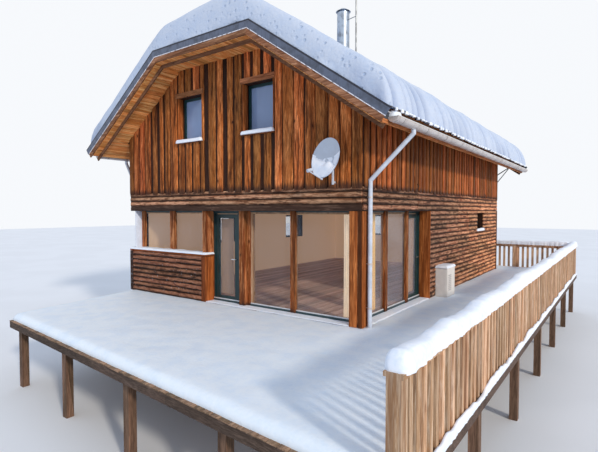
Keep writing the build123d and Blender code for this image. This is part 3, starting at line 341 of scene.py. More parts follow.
def settled_snow(given):
    """Small dimples and grains, with painted blue shade in the hollows and pits and deeper painted shade in
    the folds
    """
    point = given["Point"]
    soft = noise_at(point, 3.2, 3, 0.5)
    lump = noise_at(point, 19, 3, 0.5)
    grain = noise_at(point, 260, 2, 0.6)
    dimple = ease(lump, 0.55, 0.33) * given["Dimples"]
    pit = ease(cell_at(point, 8, 0.75), 0.34, 0.10) * given["Pits"]
    hollow_shade = maths("ADD", dimple * 0.5, ease(soft, 0.6, 0.35, 0, 0.35), clamp=True)
    colour = blend(maths("MAXIMUM", hollow_shade, pit), given["Bright"], given["Hollow"])
    colour = blend(given["Shade"], colour, blend(1.0, colour, (0.36, 0.43, 0.58, 1), "MULTIPLY"))
    colour = blend(ease(grain, 0.64, 0.76) * given["Crust"], colour, (0.35, 0.28, 0.24, 1))
    height = lump * given["Dimples"] + grain * 0.07 - pit * 0.9
    return {"Color": colour, "Roughness": ease(grain, 0.3, 0.7, 0.48, 0.72), "Height": height}


def weathered_metal(given):
    """Broad dull patches, fine scratches and streaks that run down"""
    patch = noise_at(given["Point"], 5.5, 4, 0.6)
    streak = noise_at(stretched(given["Point"], (1, 1, 0.08)), 34, 3, 0.6)
    worn = ease(patch, 0.42, 0.66, 0, 0.6) + ease(streak, 0.5, 0.75, 0, 0.5)
    mask = maths("MULTIPLY", worn, given["Dullness"], clamp=True)
    rough = maths("ADD", given["Smooth"], mask * 0.35, clamp=True)
    height = noise_at(given["Point"], 170, 2, 0.5) * 0.25 + patch
    return {"Color": blend(mask, given["Main"], given["Dull"]), "Roughness": rough, "Height": height}


def brushed_paint(given):
    wear = noise_at(given["Point"], 7, 4, 0.6)
    rough = ease(wear, 0.3, 0.7, given["Rough"], given["Rough"] + 0.25)
    return {"Color": blend(ease(wear, 0.4, 0.68), given["Main"], given["Worn"]), "Roughness": rough,
            "Height": noise_at(given["Point"], 120, 2, 0.6)}


def woven_cloth(given):
    """Fine threads over uneven yarn"""
    threads = noise_at(stretched(given["Point"], (1, 1, 0.4)), given["Weave"], 2, 0.6)
    slub = noise_at(stretched(given["Point"], (1, 1, 0.1)), 30, 3, 0.6)
    shade = blend(ease(slub, 0.35, 0.7), given["Main"], given["Slub"])
    return {"Color": blend(ease(threads, 0.5, 0.7, 0, 0.4), shade, given["Gap"]), "Height": threads}


def glass_ripple(given):
    # The ripple bends the glass's surface and lightens its colour in broad patches: painted reflection
    ripple = noise_at(given["Point"], 1.3, 2, 0.5)
    return {"Color": blend(ease(ripple, 0.35, 0.65), given["Main"], given["Bright"]), "Height": ripple}


# Inputs of each effect with their defaults; a point has none
GREY = (0.5, 0.5, 0.5, 1.0)
EFFECTS = {
    "Sawn Wood": (sawn_wood, {
        "Point": None, "Knot Point": None, "Patch Point": None, "Dark": GREY, "Main": GREY, "Light": GREY,
        "Board Tone": 0.5, "Streaks": 0.5, "Knots": 0.5, "Contrast": 0.3, "Patches": 0.3}),
    "Wet Foot": (wet_foot, {"Point": None, "Foot": 0.0, "Reach": 0.3, "Ragged": 0.5}),
    "Board Courses": (board_courses, {
        "Point": None, "Dash Point": None, "Base": 0.0, "Pitch": 0.12, "Strength": 0.9}),
    "Board Tone": (board_tone, {"Place": 0.0, "Start": 0.0, "Pitch": 0.14}),
    "Snow Flecks": (snow_flecks, {"Point": None, "Least": 0.68}),
    "Room Side": (room_side, {"Point": None, "Low": None, "High": None}),
    "Settled Snow": (settled_snow, {
        "Point": None, "Bright": GREY, "Hollow": GREY, "Dimples": 0.5, "Crust": 0.0, "Pits": 0.0,
        "Shade": 0.0}),
    "Weathered Metal": (weathered_metal, {
        "Point": None, "Main": GREY, "Dull": GREY, "Dullness": 0.5, "Smooth": 0.35}),
    "Brushed Paint": (brushed_paint, {"Point": None, "Main": GREY, "Worn": GREY, "Rough": 0.35}),
    "Woven Cloth": (woven_cloth, {"Point": None, "Main": GREY, "Slub": GREY, "Gap": GREY, "Weave": 420.0}),
    "Glass Ripple": (glass_ripple, {"Point": None, "Main": GREY, "Bright": GREY}),
}


def make_effect(name, build, inputs):
    tree = bpy.data.node_groups.new(name, "ShaderNodeTree")
    kinds = {type(None): "NodeSocketVector", float: "NodeSocketFloat", tuple: "NodeSocketColor"}
    for label, default in inputs.items():
        socket = tree.interface.new_socket(name=label, in_out="INPUT", socket_type=kinds[type(default)])
        if default is not None:
            socket.default_value = default
    given = {socket.name: Signal(socket) for socket in tree.nodes.new("NodeGroupInput").outputs}
    results = build(given)
    for label in results:
        kind = "NodeSocketColor" if label == "Color" else "NodeSocketFloat"
        tree.interface.new_socket(name=label, in_out="OUTPUT", socket_type=kind)
    new_node(tree, "NodeGroupOutput", results)


def use(name, inputs):
    group = bpy.data.node_groups[name]
    made = new_node(tree_of(*inputs.values()), "ShaderNodeGroup", inputs, node_tree=group)
    return {socket.name: Signal(socket) for socket in made.outputs}


# Finishes
def new_finish(name):
    made = bpy.data.materials.new(name)
    made.use_nodes = True
    tree = made.node_tree
    tree.nodes.clear()
    shader = new_node(tree, "ShaderNodeBsdfPrincipled", {})
    new_node(tree, "ShaderNodeOutputMaterial", {"Surface": Signal(shader.outputs[0])})
    return shader, add(tree, "ShaderNodeTexCoord", {}, "Object")


def relief(height, depth, strength=1.0):
    return add(height.tree, "ShaderNodeBump", {"Strength": strength, "Distance": depth, "Height": height})


GRAIN_SHARE, KNOT_SHARE, DASH_SHARE = 0.06, 0.45, 0.32
DARK_SHARE, LIGHT_SHARE = 0.22, 1.55
# Strength of the painted glow of the faces that look into the rooms
ROOM_GLOW = 0.30
STAIN = (0.024, 0.014, 0.012, 1)
ROOM = (0.66, 0.46, 0.29, 1)


def board_by_board(point):
    return add(point.tree, "ShaderNodeNewGeometry", {}, "Random Per Island")


def wood(name, main, along="Z", dark=None, light=None, streaks=0.5, knots=0.5, contrast=0.3, patches=0.3,
         depth=0.004, tone=board_by_board, painted_course_light=0.0, changes=()):
    shader, point = new_finish(name)
    dark = dark or times(main, DARK_SHARE)
    light = light or times(main, LIGHT_SHARE)
    grain, dashes = (stretched(point, lengthwise(along, share)) for share in (GRAIN_SHARE, DASH_SHARE))
    got = use("Sawn Wood", {
        "Point": grain, "Knot Point": stretched(point, lengthwise(along, KNOT_SHARE)),
        "Patch Point": dashes if painted_course_light else grain, "Dark": rgba(dark), "Main": rgba(main),
        "Light": rgba(light), "Board Tone": tone(point), "Streaks": streaks,
        "Knots": knots, "Contrast": contrast, "Patches": patches})
    colour = got["Color"]
    # Painted highlight on the crown of each course and painted shade at its foot
    if painted_course_light:
        course_light_masks = use("Board Courses", {"Point": point, "Dash Point": dashes, "Base": HOME.z + FLOOR_Z,
                                      "Pitch": COURSE, "Strength": painted_course_light})
        colour = blend(course_light_masks["Crown"], colour, rgba(times(light, 1.15)))
        colour = blend(course_light_masks["Foot"], colour, rgba(times(dark, 0.5)))
    for change in changes:
        colour = change(point, colour)
    feed(shader, {"Base Color": colour, "Roughness": got["Roughness"], "Specular IOR Level": 0.18,
                  "Normal": relief(got["Height"], depth)})


# Changes to a board's colour, each from its place on the house
def damp_foot(level, reach, ragged):
    def change(point, colour):
        given = {"Point": point, "Foot": HOME.z + level, "Reach": reach, "Ragged": ragged}
        return blend(use("Wet Foot", given)["Mask"] * 0.8, colour, STAIN)
    return change


def flecked(amount):
    def change(point, colour):
        mask = use("Snow Flecks", {"Point": point, "Least": 0.70 - 0.05 * amount})["Mask"]
        return blend(mask, colour, (0.75, 0.80, 0.90, 1))
    return change


def painted_shade_left(point, colour):
    """Darker boards towards the left corner of the gable: painted shade"""
    edge = xyz(point)[0] + noise_at(point, 1.4, 3, 0.6) * 1.2
    shade = ease(edge, HOME.x + 3.2, HOME.x + 1.1)
    return blend(shade, colour, blend(0.45, colour, (0.030, 0.006, 0.001, 1)))


def painted_sun_rear(point, colour):
    """Darker boards towards the front and paler, warmer boards towards the rear end of the long wall: painted
    shade and sunlight
    """
    share = ease(xyz(point)[1], HOME.y + 3.5, HOME.y + 9.5)
    tint = blend(share, (0.72, 0.70, 0.72, 1), (1.55, 1.35, 1.12, 1))
    return blend(1.0, colour, tint, "MULTIPLY")


def lining_and_painted_glow(point, colour):
    """Pale lining on the faces that look into the rooms, which also glows a little: painted light in place of
    the room's lamps
    """
    inside = Vector((WALL_T - 0.005, WALL_T - 0.005, 0))
    low = HOME + inside + UP * (FLOOR_Z + 0.002)
    high = HOME + Vector((WIDTH, DEPTH, BAND_TOP + 4)) - inside
    mask = use("Room Side", {"Point": point, "Low": low, "High": high})["Mask"]
    shader = next(node for node in point.tree.nodes if node.type == "BSDF_PRINCIPLED")
    feed(shader, {"Emission Color": blend(mask, (0, 0, 0, 1), ROOM), "Emission Strength": ROOM_GLOW})
    return blend(mask, colour, ROOM)


def from_middle(point):
    return maths("ABSOLUTE", xyz(point)[1] - (HOME.y + DEPTH / 2))


def dark_behind(point, colour):
    """The verge board behind the outer one is darker and greyer"""
    behind = maths("LESS_THAN", from_middle(point), DEPTH / 2 - VERGE_Y - 0.0305)
    return blend(behind, colour, blend(0.62, colour, (0.085, 0.045, 0.026, 1)))


def stepped_tone(axis, pitch, start=0.0):
    def tone(point):
        return use("Board Tone", {"Place": xyz(point)[axis], "Start": start, "Pitch": pitch})["Tone"]
    return tone


def metal(name, main, dull, dullness, smooth, metallic=0.9, change=None):
    shader, point = new_finish(name)
    got = use("Weathered Metal", {"Point": point, "Main": rgba(main), "Dull": rgba(dull),
                                  "Dullness": dullness, "Smooth": smooth})
    colour = change(point, got["Color"]) if change else got["Color"]
    feed(shader, {"Base Color": colour, "Roughness": got["Roughness"], "Metallic": metallic,
                  "Normal": relief(got["Height"], 0.0015, 0.6)})


def verge_lines(point, colour):
    """A dark upper lip and a pale lower edge that follow the slopes and the hips"""
    x, _, z = xyz(point)
    slope = HOME.z + RIDGE_Z - maths("ABSOLUTE", x - (HOME.x + CENTRE)) * TAN
    under = maths("MINIMUM", (slope - z) * COS, HOME.z + HALF_HIP_Z - z)
    colour = blend(maths("LESS_THAN", under, 0.030), colour, (0.030, 0.032, 0.048, 1))
    frost = ease(noise_at(point, 14, 2, 0.5), 0.35, 0.5)
    pale = blend(frost, (0.30, 0.28, 0.30, 1), (0.78, 0.78, 0.86, 1))
    return blend(maths("GREATER_THAN", under, 0.150), colour, pale)


def gutter_seams(point, colour):
    cell = maths("FRACT", (xyz(point)[1] - (HOME.y - 0.25)) / 1.06)
    return blend(maths("LESS_THAN", cell, 0.012), colour, (0.09, 0.08, 0.08, 1))


def painted(name, colour, rough, mottle):
    shader, point = new_finish(name)
    worn = times(colour, 1 + 4 * mottle)
    got = use("Brushed Paint", {"Point": point, "Main": rgba(colour), "Worn": rgba(worn), "Rough": rough})
    feed(shader, {"Base Color": got["Color"], "Roughness": got["Roughness"],
                  "Normal": relief(got["Height"], 0.0008, 0.6)})


# A cloth's glow makes it give off light of its own colour: painted light
def cloth(name, colour, weave=420.0, glow=0.0):
    shader, point = new_finish(name)
    got = use("Woven Cloth", {"Point": point, "Main": rgba(colour), "Slub": rgba(times(colour, 0.8)),
                              "Gap": rgba(times(colour, 0.6)), "Weave": weave})
    feed(shader, {"Base Color": got["Color"], "Emission Color": got["Color"], "Emission Strength": glow,
                  "Roughness": 0.9, "Normal": relief(got["Height"], 0.0006, 0.7)})


def glass(name, tint, clear, most, sheen, low_share=1.0):
    """Thin glass, clearer seen straight on; low_share thins it out further below the upper storey."""
    shader, point = new_finish(name)
    got = use("Glass Ripple", {"Point": point, "Main": rgba(tint), "Bright": rgba(times(tint, 1.25))})
    facing = add(point.tree, "ShaderNodeLayerWeight", {"Blend": sheen}, "Facing")
    upper = maths("GREATER_THAN", xyz(point)[2], HOME.z + BAND_TOP)
    alpha = ease(facing, 0.0, 1.0, clear, most) * (upper * (1 - low_share) + low_share)
    feed(shader, {"Base Color": got["Color"], "Roughness": 0.03, "IOR": 1.5, "Alpha": alpha,
                  "Normal": relief(got["Height"], 0.004, 0.15)})


def concrete(name, main):
    shader, point = new_finish(name)
    pits = noise_at(point, 60, 3, 0.7)
    colour = blend(ease(noise_at(point, 2.4, 4, 0.6), 0.35, 0.7), rgba(main), rgba(times(main, 0.66)))
    colour = blend(ease(pits, 0.56, 0.72, 0, 0.5), colour, rgba(times(main, 0.45)))
    feed(shader, {"Base Color": colour, "Roughness": 0.88, "Normal": relief(pits, 0.006, 0.8)})


def snow(name, bright, dimples, crust, depth, extra=None):
    shader, point = new_finish(name)
    # The hollow colour is a darker, bluer copy of the snow: painted shade
    hollow_shade = [channel * share for channel, share in zip(bright, (0.80, 0.88, 0.98))]
    given = {"Point": point, "Bright": rgba(bright), "Hollow": rgba(hollow_shade), "Dimples": dimples,
             "Crust": crust}
    if extra:
        given.update(extra(point))
    got = use("Settled Snow", given)
    feed(shader, {"Base Color": got["Color"], "Roughness": got["Roughness"],
                  "Normal": relief(got["Height"], depth, 0.7)})


def roof_marks(point):
    """A row of dimples along both verges, and the shade in the folds at the eaves"""
    back = DEPTH / 2 - VERGE_Y - 0.07 - from_middle(point)
    shade = add(point.tree, "ShaderNodeAttribute", {}, "Fac", attribute_name="crease")
    return {"Pits": ease(maths("ABSOLUTE", back), 0.09, 0.02), "Shade": shade}


def cladding_finishes(colours):
    gable, post = tuple(colours.gable_wood), tuple(colours.post_wood)
    bright, deep = (1.0, 0.35, 0.11), (0.050, 0.010, 0.002)
    foot = BAND_TOP - 0.06
    wood("Gable Board", gable, "Z", deep, bright, streaks=0.8, knots=1.0, contrast=0.56, patches=0.8,
         changes=(damp_foot(foot, 0.12, 0.4), painted_shade_left))
    # The upper long walls take a darker copy of the gable boards: painted shade of the eaves
    wood("Eave Wall Board", times(gable, 0.62), "Z", deep, times(bright, 0.62), streaks=0.6, knots=0.7,
         contrast=0.38, patches=0.45, changes=(damp_foot(foot, 0.08, 0.3),))
    rough = dict(dark=(0.030, 0.011, 0.006), light=(0.66, 0.37, 0.22), streaks=0.65, knots=0.6, contrast=0.40,
                 patches=0.75, depth=0.008, painted_course_light=0.85)
    wood("Wall Board", tuple(colours.wall_wood), "Y", changes=(painted_sun_rear,), **rough)
    wood("Cross Board", (0.29, 0.115, 0.054), "X", **rough)
    wood("Low Band Board", (0.075, 0.034, 0.022), "X", (0.015, 0.007, 0.005), (0.18, 0.10, 0.07),
         streaks=0.6, knots=0.3)
    wood("Parapet Board", (0.15, 0.055, 0.028), "X", (0.018, 0.008, 0.006), (0.40, 0.18, 0.10), streaks=0.6,
         knots=0.6, contrast=0.34, patches=0.6, depth=0.006, painted_course_light=0.9, changes=(flecked(0.5),))
    wood("Trim Board", times(post, 0.6), streaks=0.6, knots=0.7, patches=0.5)
    wood("Corner Board", (0.050, 0.024, 0.018), streaks=0.6, knots=0.4, patches=0.4, changes=(flecked(1.0),))
    wood("Reveal Board", (0.34, 0.088, 0.016), "Z", (0.07, 0.014, 0.003), (0.66, 0.22, 0.06), streaks=0.45,
         knots=0.8, contrast=0.2, patches=0.4)
    wood("Lintel Board", (0.36, 0.145, 0.060), "X", deep, streaks=0.6, patches=0.5)
    wood("Soffit Board", tuple(colours.soffit_wood), "Y", (0.30, 0.085, 0.018), (1.0, 0.60, 0.24),
         streaks=0.3, knots=0.8, contrast=0.22, patches=0.15)
    wood("Deck End", tuple(colours.deck_wood), "Y", streaks=0.6, knots=0.2, contrast=0.4)


def timber_finishes(colours):
    post, deck = tuple(colours.post_wood), tuple(colours.deck_wood)
    backing = dict(streaks=0.6, knots=0.1, contrast=0.2, changes=(lining_and_painted_glow,))
    wood("Backing Board", (0.040, 0.013, 0.006), "Z", **backing)
    wood("Wall Backing", (0.045, 0.019, 0.011), "Y", **backing)
    wood("Post Wood", post, "Z", (0.045, 0.011, 0.004), (0.74, 0.32, 0.13), streaks=0.6, knots=0.9,
         contrast=0.22, patches=0.55, changes=(damp_foot(FLOOR_Z, 0.08, 0.25),))
    wood("Sill Wood", times(post, 0.75), "X", knots=0.3)
    wood("Verge Boards", (0.27, 0.115, 0.055), "X", (0.07, 0.022, 0.009), (0.52, 0.27, 0.15), streaks=0.6,
         knots=1.0, contrast=0.2, patches=0.6, depth=0.005, changes=(dark_behind,))
    wood("Eave Board", (0.50, 0.175, 0.055), "Y", streaks=0.6, knots=0.7, contrast=0.2, patches=0.5)
    wood("Soffit Backing", times(colours.soffit_wood, 0.07), "Y", streaks=0.4, knots=0.3)
    wood("Frame Wood", (0.42, 0.24, 0.135), "Z", (0.10, 0.045, 0.022), (0.62, 0.42, 0.27), streaks=0.4,
         knots=0.2, contrast=0.15, depth=0.0015)
    wood("Floor Wood", (0.60, 0.40, 0.33), "Y", (0.30, 0.16, 0.11), (0.80, 0.62, 0.52), streaks=0.3,
         knots=0.3, contrast=0.22, tone=stepped_tone(0, 0.16), depth=0.002)
    wood("Ceiling Wood", (0.78, 0.63, 0.44), "Y", (0.40, 0.27, 0.15), (0.86, 0.74, 0.56), streaks=0.2,
         contrast=0.10, tone=stepped_tone(0, 0.14), depth=0.002)
    wood("Deck Wood", deck, "Y", streaks=0.6, knots=0.4, contrast=0.35, tone=stepped_tone(0, 0.145))
    wood("Rim Wood", (0.10, 0.066, 0.050), "X", (0.03, 0.02, 0.015), streaks=0.7, knots=0.4, contrast=0.25,
         tone=stepped_tone(0, 1.9))
    wood("Beam Wood", (0.17, 0.10, 0.065), streaks=0.6, knots=0.4)
    wood("Rail Wood", tuple(colours.rail_wood), "Z", (0.19, 0.080, 0.036), (0.86, 0.64, 0.46), streaks=0.45,
         knots=0.6, contrast=0.24, patches=0.5, depth=0.003, tone=stepped_tone(1, 0.163, HOME.y - 0.05))


def metal_finishes():
    metal("Brushed Steel", (0.66, 0.68, 0.70), (0.38, 0.38, 0.38), 0.4, 0.25)
    metal("Flue Steel", (0.42, 0.50, 0.62), (0.16, 0.17, 0.20), 0.9, 0.30)
    metal("Mast Tube", (0.32, 0.34, 0.36), (0.14, 0.13, 0.12), 0.8, 0.4)
    metal("Dark Fitting", (0.03, 0.028, 0.028), (0.07, 0.045, 0.035), 0.6, 0.5, 0.4)
    metal("Roof Sheet", (0.060, 0.062, 0.075), (0.10, 0.085, 0.080), 0.6, 0.5, 0.4)
    metal("Slate Metal", (0.115, 0.140, 0.205), (0.060, 0.066, 0.085), 0.9, 0.42, 0.35, verge_lines)
    metal("Gutter Zinc", (0.66, 0.61, 0.59), (0.36, 0.30, 0.27), 0.7, 0.42, 0.6, gutter_seams)
    # The beads take a paler copy of the gutter zinc: a painted highlight along the rims
    metal("Bead Zinc", (0.86, 0.80, 0.76), (0.50, 0.44, 0.40), 0.5, 0.35, 0.5)
    metal("Sill Metal", (0.020, 0.050, 0.060), (0.10, 0.13, 0.15), 0.4, 0.35, 0.3)
    metal("Pale Strip", (0.74, 0.76, 0.80), (0.50, 0.50, 0.54), 0.5, 0.4, 0.3)


def coat_finishes(colours):
    painted("Green Paint", colours.green_paint, 0.32, 0.08)
    painted("Dark Iron", (0.022, 0.020, 0.022), 0.5, 0.1)
    painted("Pipe Coat", (0.52, 0.57, 0.66), 0.35, 0.05)
    painted("Dish Coat", (0.50, 0.55, 0.64), 0.4, 0.02)
    painted("Box Coat", (0.72, 0.69, 0.66), 0.5, 0.02)
    painted("Screen Coat", (0.62, 0.68, 0.80), 0.45, 0.03)
    painted("Grille Coat", (0.30, 0.29, 0.29), 0.5, 0.03)
    concrete("Foundation", (0.42, 0.42, 0.42))


def other_finishes(colours):
    glass("Pane Glass", (0.26, 0.29, 0.36), 0.07, 0.55, 0.25)
    # The small upper panes are tinted pale blue and kept fairly opaque: a painted reflection of the sky
    glass("Sky Glass", (0.27, 0.37, 0.58), 0.72, 1.0, 0.4, low_share=0.3)
    # The cream and straw curtains glow a little: painted light, as if the sun lit them
    cloth("Cream Cloth", (0.95, 0.80, 0.62), glow=0.32)
    cloth("Straw Cloth", (0.95, 0.62, 0.20), glow=0.24)
    cloth("Blind Cloth", (0.50, 0.30, 0.17), weave=300.0)
    red, green, blue = colours.snow
    # The roof snow is a darker, bluer copy of the snow colour, and the deck snow a slightly bluer one:
    # painted shade
    snow("Roof Snow", (0.53, 0.60, 0.735), 0.55, 0.0, 0.030, roof_marks)
    snow("Deck Snow", (red * 0.96, green, blue), 0.40, 0.0, 0.016)
    snow("Ledge Snow", (red, green, blue), 0.7, 0.12, 0.010)


# The finish that each solid of the frame carries
CARRIED = {
    "Backing Board": ("front_gable", "rear_gable", "upper_side_walls"),
    "Wall Backing": ("parapet", "left_wall", "right_wall", "rear_wall", "storey_band_gables",
                     "storey_band_eaves"),
    "Post Wood": ("corner_post", "glazing_posts", "door_pier"),
    "Sill Wood": ("window_sills",),
    "Verge Boards": ("barge_boards",),
    "Eave Board": ("eave_boards",),
    "Soffit Backing": ("eave_soffits", "hip_soffits"),
    "Frame Wood": ("glazing_frames",),
    "Pane Glass": ("glazing_panes", "front_door_glass", "side_door_glass"),
    "Sky Glass": ("small_window_panes",),
    "Green Paint": ("small_window_frames", "front_door_frame", "front_door_leaf", "side_door_frame",
                    "side_door_leaf"),
    "Brushed Steel": ("front_door_fittings", "side_door_fittings", "door_hinges"),
    "Flue Steel": ("flue",),
    "Mast Tube": ("mast",),
    "Dark Iron": ("eave_braces",),
    "Roof Sheet": ("roof_left", "roof_right", "roof_hips"),
    "Slate Metal": ("verge_flashings",),
    "Gutter Zinc": ("gutters", "rainwater_brackets"),
    "Pipe Coat": ("downpipes",),
    "Dish Coat": ("dish", "dish_mount"),
    "Box Coat": ("utility_box",),
    "Foundation": ("plinth_long_walls", "plinth_cross_walls"),
    "Floor Wood": ("ground_floor",),
    "Ceiling Wood": ("upper_floor",),
    "Deck Wood": ("deck_boards",),
    "Rim Wood": ("deck_rim",),
    "Beam Wood": ("deck_beams", "deck_posts"),
    "Rail Wood": ("right_railing", "rear_railing"),
    "Ledge Snow": ("ledge_snow", "rail_snow", "deck_snow", "roof_snow_left", "roof_snow_right",
                   "roof_snow_hips"),
}


class CHALET_OT_finishes(Operator):
    """Makes every finish and puts one on each solid of the frame"""
    bl_idname = "chalet.finishes"
    bl_label = "Finishes"

    def execute(self, context):
        colours = context.scene.chalet_colours
        for name, (build, inputs) in EFFECTS.items():
            make_effect(name, build, inputs)
        cladding_finishes(colours)
        timber_finishes(colours)
        metal_finishes()
        coat_finishes(colours)
        other_finishes(colours)
        for name, nodes in CARRIED.items():
            for node in nodes:
                slots = NODES[node].data.materials
                slots.clear()
                slots.append(bpy.data.materials[name])
        return {"FINISHED"}


# Mesh helpers: pieces are drawn in house coordinates and moved to the frame once
def piece(name, bm, finish, replaced=(), crease=32, body="chalet"):
    bmesh.ops.recalc_face_normals(bm, faces=bm.faces)
    bm.transform(Matrix.Translation(HOME))
    mesh = bpy.data.meshes.new(name)
    bm.to_mesh(mesh)
    bm.free()
    mesh.materials.append(bpy.data.materials[finish])
    for face in mesh.polygons:
        face.use_smooth = True
    mesh.set_sharp_from_angle(angle=math.radians(crease))
    made = bpy.data.objects.new(name, mesh)
    bpy.context.scene.collection.objects.link(made)
    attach(made, body)
    if replaced:
        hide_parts(*replaced)
    return made


def sleeve(bm, rings):
    """A skin over rings of points that follow each other, closed at both ends."""
    count = len(rings[0])
    for first, second in zip(rings, rings[1:]):
        for index in range(count):
            after = (index + 1) % count
            bm.faces.new((first[index], first[after], second[after], second[index]))
    bm.faces.new(rings[0][::-1])
    bm.faces.new(rings[-1])


SINK = 0.003


def board(bm, low, high, out, thick, profile=FLAT, stations=2, sway=0.0, rand=None):
    """One board: low and high are its two long edges, each as (start, end)."""
    out = Vector(out)
    rings = []
    wander = 0.0
    for step in range(stations):
        share = step / (stations - 1)
        a = Vector(low[0]).lerp(Vector(low[1]), share)
        b = Vector(high[0]).lerp(Vector(high[1]), share)
        across = b - a
        if sway and rand:
            wander = 0.5 * wander + rand.uniform(-sway, sway)
            a += across * wander
            b += across * (0.5 * wander + rand.uniform(-sway, sway) * 0.5)
        rings.append([bm.verts.new(a.lerp(b, u) + out * (v * thick if v else -SINK)) for u, v in profile])
    sleeve(bm, rings)


SLIVER = 0.018


def trimmed(rect, holes):
    """What is left of a rectangle (start, end, low, high) around the holes."""
    rects = [rect]
    for h0, h1, z0, z1 in holes:
        kept = []
        for s0, s1, low, high in rects:
            if s1 <= h0 or s0 >= h1 or high <= z0 or low >= z1:
                kept.append((s0, s1, low, high))
                continue
            if low < z0:
                kept.append((s0, s1, low, z0))
            if high > z1:
                kept.append((s0, s1, z1, high))
            if s0 < h0:
                kept.append((s0, h0, max(low, z0), min(high, z1)))
            if s1 > h1:
                kept.append((h1, s1, max(low, z0), min(high, z1)))
        rects = kept
    return [rect for rect in rects if rect[1] - rect[0] > SLIVER and rect[3] - rect[2] > SLIVER]


class WallFace:
    """A wall's outer face: a point from how far along it, how high and how far out."""

    def __init__(self, origin, along, out):
        self.origin, self.along, self.out = Vector(origin), Vector(along), Vector(out)

    def at(self, s, z, lift=0.0):
        return self.origin + self.along * s + UP * z + self.out * lift

    def upright(self, bm, s0, s1, z0, tops, thick, **shape):
        low = (self.at(s0, z0), self.at(s0, tops[0]))
        high = (self.at(s1, z0), self.at(s1, tops[1]))
        board(bm, low, high, self.out, thick, **shape)

    def level(self, bm, s0, s1, z0, z1, thick, lift=0.0, **shape):
        low = (self.at(s0, z0, lift), self.at(s1, z0, lift))
        high = (self.at(s0, z1, lift), self.at(s1, z1, lift))
        board(bm, low, high, self.out, thick, **shape)


def house_faces(lap):
    """The front, rear, right and left faces of the house, this far outside the ground floor."""
    front = WallFace((0, -lap, 0), (1, 0, 0), (0, -1, 0))
    rear = WallFace((WIDTH, DEPTH + lap, 0), (-1, 0, 0), (0, 1, 0))
    right = WallFace((WIDTH + lap, 0, 0), (0, 1, 0), (1, 0, 0))
    left = WallFace((-lap, DEPTH, 0), (0, -1, 0), (-1, 0, 0))
    return front, rear, right, left


FRONT_GABLE, REAR_GABLE, RIGHT_UPPER, LEFT_UPPER = house_faces(GABLE_LAP)
FRONT_LOWER, REAR_LOWER, RIGHT_LOWER, LEFT_LOWER = house_faces(0)


def turned(holes, length):
    return [(length - end, length - start, low, high) for start, end, low, high in holes]


# Upper cladding
SOFFIT_GAP = 0.012
BOARD_FOOT = BAND_TOP - 0.055
FOOT_PLAY = 0.012


def under_soffit(x):
    return min(SOFFIT_Z + x * TAN, SOFFIT_Z + (WIDTH - x) * TAN, HIP_SOFFIT_Z) - SOFFIT_GAP


def gable_boards(face, holes, sizes, rand):
    bm = bmesh.new()
    for s0, s1 in GABLE_BOARDS:
        foot = BOARD_FOOT + rand.uniform(-FOOT_PLAY, FOOT_PLAY)
        for a, b, low, high in trimmed((s0, s1, foot, RIDGE_Z), holes):
            tops = (min(high, under_soffit(a)), min(high, under_soffit(b)))
            if min(tops) - low > 0.03:
                face.upright(bm, a, b, low, tops, sizes.overlay * rand.uniform(0.85, 1.1), stations=7,
                             sway=sizes.sway, rand=rand, profile=WORN)
    return bm


def side_boards(face, sizes, rand):
    bm = bmesh.new()
    count = round(DEPTH / sizes.side_pitch)
    pitch = DEPTH / count
    top = SOFFIT_Z - GABLE_LAP * TAN - SOFFIT_GAP
    for index in range(count):
        s0 = index * pitch + rand.uniform(0.01, 0.04)
        s1 = (index + 1) * pitch - rand.uniform(0.01, 0.04)
        foot = BOARD_FOOT + rand.uniform(-FOOT_PLAY, FOOT_PLAY)
        face.upright(bm, s0, s1, foot, (top, top), sizes.overlay * rand.uniform(0.85, 1.1), stations=5,
                     sway=sizes.sway, rand=rand, profile=WORN)
    return bm


def lintels(sizes, rand):
    bm = bmesh.new()
    for face, holes in ((FRONT_GABLE, UPPER_WINDOWS), (REAR_GABLE, turned(UPPER_WINDOWS, WIDTH))):
        for s0, s1, _, top in holes:
            face.level(bm, s0 - 0.05, s1 + 0.05, top, top + 0.11, sizes.overlay + 0.012, stations=6,
                       sway=0.02, rand=rand)
    return bm


class CHALET_OT_upper_cladding(Operator):
    """Upright rough boards on the gables and the long upper walls, with the window lintels"""
    bl_idname = "chalet.upper_cladding"
    bl_label = "Upper Cladding"

    def execute(self, context):
        sizes = context.scene.chalet_boards
        rand = random.Random(11)
        front = gable_boards(FRONT_GABLE, UPPER_WINDOWS, sizes, rand)
        piece("front_gable_boards", front, "Gable Board")
        rear = gable_boards(REAR_GABLE, turned(UPPER_WINDOWS, WIDTH), sizes, rand)
        piece("rear_gable_boards", rear, "Gable Board")
        piece("right_upper_boards", side_boards(RIGHT_UPPER, sizes, rand), "Eave Wall Board")
        piece("left_upper_boards", side_boards(LEFT_UPPER, sizes, rand), "Eave Wall Board")
        piece("window_lintels", lintels(sizes, rand), "Lintel Board")
        return {"FINISHED"}


# Lower cladding
CORNER_TRIM = 0.13
PARAPET_TOP = PARAPET.z - 0.01
PARAPET_TRIM = PARAPET.x - 0.11


def courses_between(low, high):
    count = max(1, round((high - low) / COURSE))
    return [low + (high - low) * index / count for index in range(count + 1)]


def band_courses(first):
    return [BAND_LOW + COURSE * index for index in range(first, 4)] + [BAND_TOP - 0.03]


